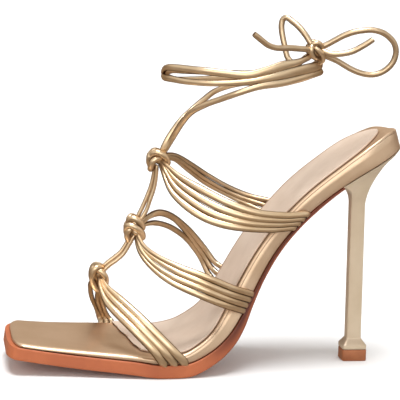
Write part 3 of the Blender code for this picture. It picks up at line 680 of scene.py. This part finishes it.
# Bow: each cord's own route in millimetres, from the knot outwards, and what is at its far end
BOW_ROUTES = {
    "bow_loop_right": ("knot", (
        (73.8, -13.6, 166.7), (76.9, -14.0, 168.3), (80.6, -15.0, 170.6), (84.6, -16.0, 172.9),
        (89.2, -17.0, 174.7), (93.9, -17.5, 175.6), (98.6, -17.5, 175.9), (103.2, -17.5, 175.0),
        (107.0, -17.0, 173.0), (110.5, -16.5, 169.5), (111.9, -16.0, 165.0), (111.0, -15.5, 160.2),
        (108.4, -15.0, 156.6), (104.4, -14.5, 153.9), (99.9, -14.0, 152.9), (94.7, -13.5, 153.6),
        (89.0, -13.0, 155.8), (82.1, -12.6, 159.6), (74.4, -12.6, 162.7))),
    "bow_loop_left": ("knot", (
        (68.4, -12.2, 167.7), (66.0, -10.0, 172.0), (62.7, -7.0, 176.2), (59.6, -4.5, 178.9),
        (57.4, -3.0, 180.4), (55.5, -2.0, 179.6), (54.8, -2.0, 176.6), (55.1, -2.5, 172.6),
        (56.3, -4.0, 166.6), (57.9, -6.5, 160.0), (61.8, -9.2, 157.4), (67.0, -11.8, 161.9))),
    "bow_end_right": ("bare", (
        (70.2, -15.5, 164.5), (73.2, -17.0, 164.8), (77.2, -19.5, 163.6), (82.1, -20.5, 163.8),
        (87.6, -21.0, 165.1), (93.1, -21.5, 168.1), (98.3, -22.0, 171.6))),
    "bow_end_left": ("bare", (
        (68.0, -17.6, 165.4), (60.8, -21.4, 166.1), (55.0, -24.0, 166.6), (50.0, -26.0, 166.6),
        (46.7, -27.0, 166.9), (42.9, -28.0, 168.2), (39.6, -29.0, 170.5), (35.3, -30.0, 173.7))),
}

# Strands that show on the outer side of each knot, in millimetres from its centre
KNOT_STRANDS = {
    "toe": (
        ((1.2, -0.5, 3.7), (-0.2, -3.2, 4.0), (-2.0, -4.6, 3.9), (-3.4, -4.4, 1.8), (-3.8, -3.6, -1.7),
         (-2.7, -2.4, -5.4), (-0.9, -0.5, -8.0)),
        ((-2.5, -1.5, 1.7), (-0.9, -3.4, 2.4), (1.1, -4.2, 1.5), (2.8, -4.0, -0.9), (3.3, -2.8, -3.8),
         (2.6, -1.2, -6.8)),
    ),
    "mid": (
        ((-3.5, -0.5, 2.1), (-3.4, -2.4, 4.6), (-1.9, -3.8, 5.7), (0.1, -4.2, 4.8), (2.2, -3.2, 2.6),
         (3.4, -1.2, 0.4)),
        ((-4.7, -0.3, -2.1), (-4.9, -2.6, 0.6), (-3.7, -4.4, 2.1), (-1.5, -5.2, 1.5), (1.0, -4.8, -0.2),
         (3.1, -2.8, -2.4), (3.7, -0.6, -4.7)),
        ((-3.2, -3.0, 0.0), (-4.3, -3.0, -1.9), (-4.4, -2.0, -4.2), (-3.3, -0.3, -6.8)),
        ((-0.7, -3.2, -1.1), (1.0, -3.6, -2.8), (2.3, -2.4, -4.9), (1.9, -0.6, -7.3)),
    ),
    "instep": (
        ((-5.2, -0.2, -1.1), (-4.9, -2.4, 1.5), (-3.0, -4.4, 3.3), (-0.3, -5.2, 2.8), (2.3, -4.4, 0.6),
         (3.8, -1.6, -2.2)),
        ((1.5, -2.2, 1.5), (-1.0, -3.6, 0.6), (-3.2, -4.4, -0.4), (-4.6, -3.8, -2.5), (-4.9, -1.4, -5.3)),
        ((-3.3, -1.0, 3.4), (-5.5, -2.2, 1.2), (-5.7, -1.4, -2.0), (-4.3, 0.2, -4.8)),
    ),
    "bow": (
        ((-2.3, -1.0, -0.2), (-2.8, -3.0, 2.2), (-1.8, -4.4, 4.2), (0.1, -4.6, 4.6), (2.0, -3.4, 3.1),
         (3.0, -1.0, 0.6)),
        ((-1.1, -2.0, 3.5), (-3.0, -4.4, 2.6), (-3.3, -5.0, 0.4), (-2.0, -3.6, -2.0), (0.4, -1.0, -3.5)),
        ((-1.7, -2.6, 2.5), (-0.6, -4.6, 1.8), (1.0, -4.6, 0.3), (2.9, -3.6, -1.6), (3.4, -2.0, -4.1),
         (2.2, -0.4, -5.6)),
    ),
}


def sole_edge(x, side, lift, reach):
    """A point beside the footbed's flank, this far up from the seam and this far out."""
    cut = section(x)
    wide = cut["far"] if side > 0 else cut["near"]
    return place(cut, side * (wide + reach), lift)


def border_route(strap, border):
    """The upper or lower cord of a strap: its table, then its tuck beside the footbed."""
    knot, side = strap["knot"], strap["side"]
    end = sole_edge(strap[border + "_end"], side, END_RISE, CLEARANCE + CORD / 2 * END_FLATNESS)
    points = []
    for along, across, height in np.array(strap[border]) / 100:
        points.append(np.array([
            knot[0] + (end[0] - knot[0]) * along,
            knot[1] + (end[1] - knot[1]) * across,
            end[2] + (knot[2] - end[2]) * height,
        ]))
    if side > 0:
        top = max(section(strap[border + "_end"])["board"] * 0.75, END_RISE + 1.2 * MM)
        points.append(sole_edge(strap[border + "_end"], side, top, CLEARANCE + CORD / 2))
    points.append(end)
    return np.array(points)


def link_route(start, end, across, rows):
    """A link's way from one knot to the next."""
    points = []
    for along, climb in np.array(rows) / 100:
        points.append((
            start[0] + (end[0] - start[0]) * along,
            start[1] + across * CORD,
            start[2] + (end[2] - start[2]) * climb,
        ))
    return smooth_path(points, LINK_POINTS)


def ring_point(degrees, height):
    """A point of the ankle ring, this far round from the front and this many diameters over it."""
    turn = math.radians(degrees)
    return (
        ANKLE_CENTRE[0] - ANKLE_HALF_LENGTH * math.cos(turn),
        ANKLE_CENTRE[1] - ANKLE_HALF_WIDTH * math.sin(turn),
        ANKLE_HEIGHT + height * CORD,
    )


def ankle_route(climb, turns, end):
    """A cord's way from the instep knot up to the ring, round it, and on to the bow."""
    knot = INSTEP_KNOT
    points = []
    for along, across, rise in np.array(climb) / 100:
        points.append((
            knot[0] + (ANKLE_CENTRE[0] - knot[0]) * along,
            knot[1] - ANKLE_HALF_WIDTH * across,
            knot[2] + (ANKLE_HEIGHT - knot[2]) * rise,
        ))
    points += [ring_point(degrees, height) for degrees, height in turns]
    points.append(np.array(end) * MM)
    return smooth_path(points, WRAP_POINTS)


# Cord meshes

random = np.random.default_rng(7)


def cord_tube(shape, path, outward, wide=1.0, deep=1.0, closed=False, radius=CORD / 2,
              tone=1.0, inner=0.0, shade=0.0):
    """A leather cord along a path, a little uneven, with its glued seam on the side away from outward.

    outward, wide, deep and shade are one value, or one for each point. tone is the painted shade along the
    cord's two edges, inner the least painted shade on its hidden side, and shade the least painted shade all
    round.
    """
    count = len(path)
    outward = np.broadcast_to(outward, path.shape)
    wide, deep, least = (np.broadcast_to(value, count) for value in (wide, deep, shade))
    steps = np.linalg.norm(np.diff(path, axis=0), axis=1)
    marks = np.concatenate([[0.0], np.cumsum(steps)])
    if closed:
        tangents = np.roll(path, -1, axis=0) - np.roll(path, 1, axis=0)
    else:
        tangents = np.gradient(path, axis=0)
    phase = random.uniform(0, 2 * math.pi, 4)
    half = CORD_SIDES // 2
    # Painted shade on each ring: dark along the two edges, and at least inner on the hidden half
    tones = [tone * EDGE_SHADE.get(min(j % half, half - j % half), 0.0) for j in range(CORD_SIDES)]
    tones = [max(edge, inner) if 0 < j < half else edge for j, edge in enumerate(tones)]
    rings = []
    for i in range(count):
        tangent = tangents[i] / np.linalg.norm(tangents[i])
        side = np.cross(tangent, outward[i])
        side = side / np.linalg.norm(side)
        lift = np.cross(side, tangent)
        waves = math.sin(marks[i] / LONG_WAVE + phase[0]) + math.sin(marks[i] / SHORT_WAVE + phase[1])
        swell = 1 + UNEVEN * waves / 2
        lean = LEAN * math.sin(marks[i] / LEAN_WAVE + phase[2])
        end = min(i, count - 1 - i, len(END_FULLNESS) - 1)
        round_off = 1.0 if closed else END_FULLNESS[end]
        ring = []
        for j in range(CORD_SIDES):
            # The first half of each ring is the hidden side, so that the faces look outwards
            angle = -2 * math.pi * j / CORD_SIDES
            c, s = math.cos(angle + lean), math.sin(angle + lean)
            notch = SEAM_DEPTH if j == half // 2 else 0.0
            reach = side * c * wide[i] + lift * s * deep[i]
            ring.append(path[i] + (radius * swell * round_off - notch) * reach)
        rings.append(ring)
    if closed:
        marks = np.append(marks, marks[-1] + steps[-1])
    shape.skin(rings, marks, [[max(edge, lowest) for edge in tones] for lowest in least], closed)


def path_length(path):
    return float(np.linalg.norm(np.diff(path, axis=0), axis=1).sum())


def tucked(strap, border):
    """The route with its end led on into the seam between footbed and sole."""
    route = border_route(strap, border)
    return np.vstack([route, sole_edge(strap[border + "_end"], strap["side"], TUCK_DEPTH, TUCK_REACH)])


def make_strap(strap, finish):
    """A fan of cords, pressed narrower and stacked a little where they crowd together."""
    shape = Shape()
    upper = smooth_path(tucked(strap, "upper"), STRAP_POINTS)
    lower = smooth_path(tucked(strap, "lower"), STRAP_POINTS)
    cords, far = strap["cords"], strap["side"] > 0
    breadth = np.linalg.norm(lower - upper, axis=1)
    across = (lower - upper) / (breadth[:, None] + 1e-9)
    gap = breadth / (cords - 1) / CORD
    share = np.linspace(0, 1, STRAP_POINTS)
    fade = np.sin(np.pi * np.clip(share / 0.96, 0, 1)) ** 0.7
    bunching = strap["bunched"] * np.interp(share, [0, 0.1, 0.38, 0.62, 1], [0.4, 1, 1, 0, 0])
    crowd = np.clip(1 - gap, 0, 1) * np.clip((1 - share) / 0.2, 0, 1)
    wide = np.clip(gap * 1.05, NARROWEST, strap["fullest"])
    wide = wide * np.interp(share, [0, 0.45, 1], [1, 1, strap["spread"]])
    deep = np.interp(share, [0, 0.8, 1], [1, 1, END_FLATNESS])
    # Painted shade on the far straps' inner side and towards their tucked ends
    inner = FAR_INNER_SHADE if far else 0.0
    shade = FAR_END_SHADE * np.clip((share - FAR_END_START) / FAR_END_LENGTH, 0, 1) * far
    outward = np.array([0.0, strap["side"], 0.25])
    outward /= np.linalg.norm(outward)
    for j in range(cords):
        place_in_fan = np.full(STRAP_POINTS, j / (cords - 1))
        if j < cords - 1:
            place_in_fan = place_in_fan * (1 - bunching)
        path = upper + (lower - upper) * place_in_fan[:, None]
        stray = STRAY * np.sin(share * random.uniform(5, 9) + random.uniform(0, 6)) * fade
        if 0 < j < cords - 1:
            path = path + across * stray[:, None]
        path = path + outward * ((-1) ** j * STACKING * crowd)[:, None]
        cord_tube(shape, path, outward, wide, deep, inner=inner, shade=shade)
    shape.piece(strap["name"], finish, ["upper"])


def strand_loop(strand):
    """The strand seen on the outer side, closed by its mirror image behind the knot."""
    front = np.array(strand, float) * MM
    back = front[::-1] * np.array([0.92, -0.9, 0.96])
    ends = 1.2 * MM
    front[:, 1] = np.minimum(front[:, 1], -0.1 * MM)
    back[:, 1] = np.maximum(back[:, 1], ends)
    return np.vstack([front, back])


def make_knot(name, centre, strands, replaced, finish, radius=1.65 * MM, core=3.0 * MM):
    """Crossing strands round a core, which closes the gaps between them."""
    shape = Shape()
    for strand in strands:
        path = smooth_path(strand_loop(strand), KNOT_POINTS, closed=True) + centre
        cord_tube(shape, path, path - centre, closed=True, radius=radius, tone=KNOT_EDGE_SHADE)
    rings, tallness = [], 1.25
    for polar in np.linspace(0, math.pi, 13)[1:-1]:
        across, up = math.sin(polar), -tallness * math.cos(polar)
        rings.append([centre + core * np.array([across * math.cos(turn), across * math.sin(turn), up])
                      for turn in np.linspace(0, 2 * math.pi, 20, endpoint=False)])
    shape.skin(rings)
    return shape.piece(name, finish, replaced)


def make_links(finish):
    """Two flattened strands beside each other between every two knots."""
    for name, (start, end, across, stand_off, rows) in LINKS.items():
        path = link_route(start, end, across, rows)
        beside = np.cross(np.gradient(path, axis=0), [0.0, 1.0, 0.0])
        beside /= np.linalg.norm(beside, axis=1)[:, None]
        apart = np.sin(np.linspace(0.08, 0.92, LINK_POINTS) * math.pi) ** 0.6 * stand_off
        shape = Shape()
        cord_tube(shape, path + beside * apart[:, None], SEEN_FROM, wide=LINK_WIDTH, tone=LINK_EDGE_SHADE)
        shape.piece(name, finish, ["upper"])


def make_ankle(finish):
    """The two cords that climb from the instep knot and wrap the ankle, thinner where they are pressed."""
    for name, (climb, turns, end, widths) in ANKLE_CORDS.items():
        path = ankle_route(climb, turns, end)
        outward = path - np.array([*ANKLE_CENTRE, ANKLE_HEIGHT])
        outward[:, 2] = 0.0
        turn = np.arctan2(-outward[:, 1] / ANKLE_HALF_WIDTH, -outward[:, 0] / ANKLE_HALF_LENGTH)
        turn = np.degrees(np.unwrap(turn))
        wide = np.interp(turn if name == "ankle_outer" else -turn, *zip(*widths))
        outward /= np.linalg.norm(outward, axis=1)[:, None]
        # The climb faces the viewer, and the turns face away from the leg
        climbing = np.clip((ANKLE_HEIGHT - 2 * CORD - path[:, 2]) / (4 * CORD), 0, 1)[:, None]
        facing = SEEN_FROM if name == "ankle_outer" else -SEEN_FROM
        outward = outward * (1 - climbing) + facing * climbing
        shape = Shape()
        cord_tube(shape, path, outward, wide, np.clip(1.25 - 0.3 * wide, 0.75, 1))
        shape.piece(name, finish, ["upper"])


def make_bow(finish):
    """The four cords of the tied bow, each as long as the photograph shows, and its knot."""
    knot = make_knot("bow_knot_strands", BOW_KNOT, KNOT_STRANDS["bow"], ["bow_knot"], finish,
                     radius=1.4 * MM, core=2.8 * MM)
    for name, (far_end, route) in BOW_ROUTES.items():
        route = np.array(route) * MM
        path = smooth_path(route, max(40, int(path_length(route) / BOW_STEP)))
        shape = Shape()
        cord_tube(shape, path, SEEN_FROM, shade=BOW_SHADE)
        made = shape.piece(name + "_cord", finish, [name])


# Sole, footbed and sock

def outsole_profile(cut):
    """Points round the sole's section with a painted shade value for each: rounded tread edge, upright side,
    top edge.
    """
    from_tip = cut["point"][0] + TOE_REACH
    far_toe_cut = 2.6 * MM * (1 - ramp(from_tip, 0, 8 * MM))
    near, far = -cut["near"] - OUTSOLE_LEDGE, cut["far"] + OUTSOLE_LEDGE - far_toe_cut
    bottom, top = -cut["edge"], -CLEARANCE / 2
    turn = min(1.1 * MM, 0.45 * cut["edge"], 0.4 * (far - near))
    rim = min(0.35 * MM, 0.25 * cut["edge"])
    # Painted shade: over the arch the side darkens towards its top under the footbed, and the ledge darkens
    # where the footbed sits on it
    arch = ramp(cut["point"][0], 6 * MM, 36 * MM)
    contact = ramp(from_tip, 2 * MM, 10 * MM)
    side = []
    for angle in np.linspace(-90, 0, 7):
        c, s = math.cos(math.radians(angle)), math.sin(math.radians(angle))
        side.append((-turn + turn * c, bottom + turn + turn * s, arch * 0.55))
    for share in (0.3, 0.6, 0.85):
        level = bottom + turn + (top - rim - bottom - turn) * share
        side.append((0.0, level, arch * min(1.0, 0.6 + 0.6 * share)))
    side += [(0.0, top - rim, arch), (-0.3 * rim, top - 0.3 * rim, arch * 0.9), (-rim, top, arch * 0.9)]
    inner = [(-OUTSOLE_LEDGE * 0.8, top, 0.45 * contact), (-OUTSOLE_LEDGE * 1.6, top, 0.7 * contact)]
    right = [(far + out, up, shade) for out, up, shade in side + inner]
    left = [(near - out, up, shade) for out, up, shade in (side + inner)[::-1]]
    return right + left


def profiled(name, xs, setback, outline, finish, replaced):
    """A piece along the shoe, with this outline at every section."""
    shape = Shape()
    rings, shades = [], []
    for x in xs:
        cut = section(x, setback)
        profile = outline(cut)
        rings.append([place(cut, across, up) for across, up, _ in profile])
        shades.append([shade for _, _, shade in profile])
    shape.skin(rings, xs, shades)
    shape.piece(name, finish, [replaced], 60)


def make_outsole(finish):
    xs = stations(-TOE_REACH + TIP, BREAST - TIP, SOLE_STATIONS, True, False)
    profiled("outsole_unit", xs, 0.0, outsole_profile, finish, "outsole")


def wrap_profile(cut):
    """Section of the wrapped board: tucked bottom, flank, a fine groove under the rim, and a rounded rim,
    with painted shade.
    """
    near, far = -cut["near"], cut["far"]
    x = cut["point"][0]
    bottom = CLEARANCE / 2
    top = cut["board"] - BACK_RIM_DROP * ramp(x, HEEL_REACH - BACK_RIM, HEEL_REACH)
    thick = top - bottom
    narrow = 0.4 * (far - near)
    behind, arch = ramp(x, -6 * MM, 14 * MM), ramp(x, -6 * MM, 8 * MM)
    rim_out = min(2.8 * MM - 1.8 * MM * behind, narrow)
    rim_up = min(thick * 0.82, 1.5 * MM - 0.3 * MM * behind)
    tuck = min(0.35 * MM, 0.2 * thick)
    # Painted shade where the tucked bottom meets the sole
    side = [(-tuck, bottom, 0.5), (-0.1 * tuck, bottom + tuck, 0.1), (0.0, bottom + 1.6 * tuck, 0.0)]
    shoulder = top - rim_up
    for share in (0.35, 0.7):
        side.append((0.0, bottom + 1.6 * tuck + (shoulder - bottom - 1.6 * tuck) * share * 0.9, 0.0))
    for angle in np.linspace(0, 90, 11):
        c, s = math.cos(math.radians(angle)), math.sin(math.radians(angle))
        side.append((-rim_out + rim_out * c, shoulder + rim_up * s, 0.0))
    # The groove's dark line is partly the cover's seam and partly painted shade in the groove
    side.insert(5, (0.0, shoulder - 0.24 * MM, 0.0))
    side.insert(6, (-0.22 * MM * arch, shoulder - 0.1 * MM, 0.85 * arch))
    # Painted shade along the far rim's outline, from the forefoot back
    line = 0.75 * ramp(x, -10 * MM, 4 * MM)
    right = [(far + out, up, line if i in range(12, 16) else shade)
             for i, (out, up, shade) in enumerate(side)]
    left = [(near - out, up, shade) for out, up, shade in side[::-1]]
    inner_far, inner_near = far - rim_out, near + rim_out
    middle = [(inner_far + (inner_near - inner_far) * share, top, 0.0)
              for share in (0.15, 0.35, 0.5, 0.65, 0.85)]
    return right + middle + left


def make_footbed(finish):
    xs = stations(-TOE_REACH + TOE_LEDGE + TIP, HEEL_REACH - TIP, FOOTBED_STATIONS, True, True)
    profiled("footbed_wrap", xs, TOE_LEDGE, wrap_profile, finish, "footbed")


def make_sock(finish):
    """The lining: a thin sheet with painted shade underneath, at the foot of its cut edge and along its far
    edge, its front edge slanted and a little wavy.
    """
    shape = Shape()
    end = HEEL_REACH - SOCK_HEEL_MARGIN
    near_xs = stations(SOCK_FRONT_NEAR, end - TIP, SOCK_STATIONS, False, True)
    far_xs = stations(SOCK_FRONT_FAR, end - TIP, SOCK_STATIONS, False, True)
    settle = np.clip(np.linspace(0, 3.2, SOCK_STATIONS), 0, 1)
    far_xs = far_xs * (1 - settle) + near_xs * settle
    rings, shades = [], []
    for i, (near_x, far_x) in enumerate(zip(near_xs, far_xs)):
        slant = (1 - ramp(near_x, SOCK_FRONT_NEAR, 10 * MM)) ** 1.6
        near_margin = SOCK_MARGIN + (SOCK_FRONT_MARGIN - SOCK_MARGIN) * slant
        # Painted shade along the far edge, from the forefoot back
        line = 0.9 * ramp(far_x, -12 * MM, 2 * MM)
        # Share of the way across from the far side, inset, share of the thickness, painted shade
        outline = [(1.0, 0.0, 0.0, 1.0), (0.5, 0.0, 0.0, 1.0), (0.0, 0.0, 0.0, 1.0)]
        outline += [(0.0, 0.0, 0.4, 0.5), (0.0, 0.0, 0.75, line), (0.0, SOCK_EDGE, 1.0, line)]
        outline += [(0.0, 1.5 * MM, 1.0, line), (0.0, 2.3 * MM, 1.0, 0.0)]
        outline += [(share, 3 * SOCK_EDGE, 1.0, 0.0) for share in (0.12, 0.25, 0.4, 0.55, 0.7, 0.85, 1.0)]
        outline += [(1.0, SOCK_EDGE, 1.0, 0.0), (1.0, 0.0, 0.75, 0.0), (1.0, 0.0, 0.4, 0.15)]
        outline += [(1.0, 0.0, 0.2, 1.0)]
        ring = []
        for share, inset, level, _ in outline:
            x = far_x + (near_x - far_x) * share
            wave = SOCK_WAVE * math.sin(share * 14.0) * max(0.0, 1 - i / 6)
            cut = section(x + wave)
            near = -(cut["near"] - near_margin) * end_round(end - near_x, HEEL_ROUND) + inset
            far = (cut["far"] - SOCK_MARGIN) * end_round(end - far_x, HEEL_ROUND) - inset
            if far < near:
                near = far = (near + far) / 2
            up = cut["board"] + CLEARANCE + level * SOCK_THICKNESS
            ring.append(place(cut, far + (near - far) * share, up))
        rings.append(ring)
        shades.append([shade for _, _, _, shade in outline])
    shape.skin(rings, near_xs, shades)
    shape.piece("sock_lining", finish, ["sock"], 60)


# Heel

def rounded_square(angle, half_length, half_width, power=CORNER_POWER):
    """A point of a square with soft corners."""
    c, s = math.cos(angle), math.sin(angle)
    size = (abs(c) ** power + abs(s) ** power) ** (-1 / power)
    return half_length * size * c, half_width * size * s


def heel_angles():
    """Directions round the heel, closer together at its four corners."""
    angles = []
    for i in range(HEEL_POINTS):
        turn = 2 * math.pi * (i + 0.5) / HEEL_POINTS
        angles.append(turn + 0.17 * math.sin(4 * turn))
    return angles


def seat_ring():
    """The cup's upper edge: the seam's outline from the breast to the heel's back."""
    back = HEEL_REACH - 0.4 * MM
    middle, half = (BREAST + back) / 2, (back - BREAST) / 2
    ring = []
    for angle in heel_angles():
        along, across = rounded_square(angle, 1.0, 1.0, SEAT_CORNER_POWER)
        x = middle + half * along
        cut = section(x)
        wide = cut["far"] if across > 0 else cut["near"]
        edge = min(1.0, abs(across) * 1.02)
        ring.append(place(cut, math.copysign(wide * edge, across), -CLEARANCE / 2))
    return ring


def level_ring(z, length, width, inset=0.0):
    """A level section of the heel, which leans a little along its height."""
    centre = COLUMN_CENTRE + COLUMN_LEAN * (1 - z / COLUMN_TOP)
    ring = []
    for angle in heel_angles():
        x, y = rounded_square(angle, length / 2 - inset, width / 2 - inset)
        ring.append(np.array([centre + x, y, z]))
    return ring


def make_heel(finish):
    """The cup drawn in from the seat to the column, the column, its flare and its chamfered foot."""
    shape = Shape()
    seat = seat_ring()
    angles = heel_angles()
    neck = level_ring(COLUMN_TOP, COLUMN_LENGTH, COLUMN_WIDTH)
    rings = [seat]
    # The cup's back comes in evenly until about this share of its drop, and its front comes in early
    turn_in, turn_power, front_start, front_power = 0.86, 6, 0.1, 4.2
    for i in range(1, CUP_RINGS):
        drop = (i / CUP_RINGS) ** 1.25
        front = max(0.0, drop - front_start) / (1 - front_start)
        straight = drop / (drop**turn_power + turn_in**turn_power) ** (1 / turn_power)
        straight *= (1 + turn_in**turn_power) ** (1 / turn_power)
        side = 1 - (1 - drop) ** 2.0
        ring = []
        for top, low, angle in zip(seat, neck, angles):
            back = 0.5 + 0.5 * math.cos(angle)
            pull = back * straight + (1 - back) * (1 - (1 - front) ** front_power)
            ring.append(np.array([
                top[0] + (low[0] - top[0]) * pull,
                top[1] + (low[1] - top[1]) * side,
                top[2] + (low[2] - top[2]) * drop,
            ]))
        rings.append(ring)
    for z in np.linspace(COLUMN_TOP, FLARE_TOP, 14):
        rings.append(level_ring(z, COLUMN_LENGTH, COLUMN_WIDTH))
    for share in (0.06, 0.25, 0.5, 0.75, 1.0):
        grow = share ** 1.1
        z = FLARE_TOP + (FLARE_BOTTOM - FLARE_TOP) * share
        rings.append(level_ring(z, COLUMN_LENGTH + (FOOT_LENGTH - COLUMN_LENGTH) * grow,
                                COLUMN_WIDTH + (FOOT_WIDTH - COLUMN_WIDTH) * grow))
    base = LIFT_HEIGHT + CLEARANCE
    for z, inset in ((FLARE_BOTTOM - 0.25 * MM, -0.02 * MM), (base + 0.3 * MM, 0.0), (base, 0.25 * MM)):
        rings.append(level_ring(z, FOOT_LENGTH, FOOT_WIDTH, inset))
    # Painted shade on the flare's faces, none on the foot's band
    flare_shade = [0.2, 0.35, 0.4, 0.4, 0.3, 0.0, 0.0, 0.0]
    tones = [0.0] * (len(rings) - len(flare_shade)) + flare_shade
    shape.skin(rings[::-1], shades=[[tone] * HEEL_POINTS for tone in tones[::-1]])
    shape.piece("heel_shell", finish, ["heel"], 26)


def make_lift(finish):
    """The heel tip, with its edges a little rounded. Heights and insets are in millimetres."""
    shape = Shape()
    rings = []
    for z, inset in ((0.0, 0.35), (0.12, 0.12), (0.35, 0.0), (3.0, 0.0), (5.6, 0.0), (5.88, 0.1), (6.0, 0.3)):
        rings.append([p * np.array([1, 1, 0]) + np.array([0, 0, z * MM])
                      for p in level_ring(0.0, FOOT_LENGTH, FOOT_WIDTH, inset * MM)])
    shape.skin(rings)
    shape.piece("lift_cap", finish, ["top_lift"], 45)


def main():
    make_camera()
    materials = make_materials()
    make_bow(materials["cord"])
    make_outsole(materials["sole"])
    make_footbed(materials["wrap"])
    make_sock(materials["sock"])
    make_heel(materials["heel"])
    make_lift(materials["lift"])
    for strap in STRAPS:
        make_strap(strap, materials["cord"])
    make_links(materials["cord"])
    make_ankle(materials["cord"])
    for name, centre in (("toe", TOE_KNOT), ("mid", MID_KNOT), ("instep", INSTEP_KNOT)):
        make_knot("knot_" + name, centre, KNOT_STRANDS[name], ["upper"], materials["cord"])
    make_lights()
    make_world()
    make_stage()


main()
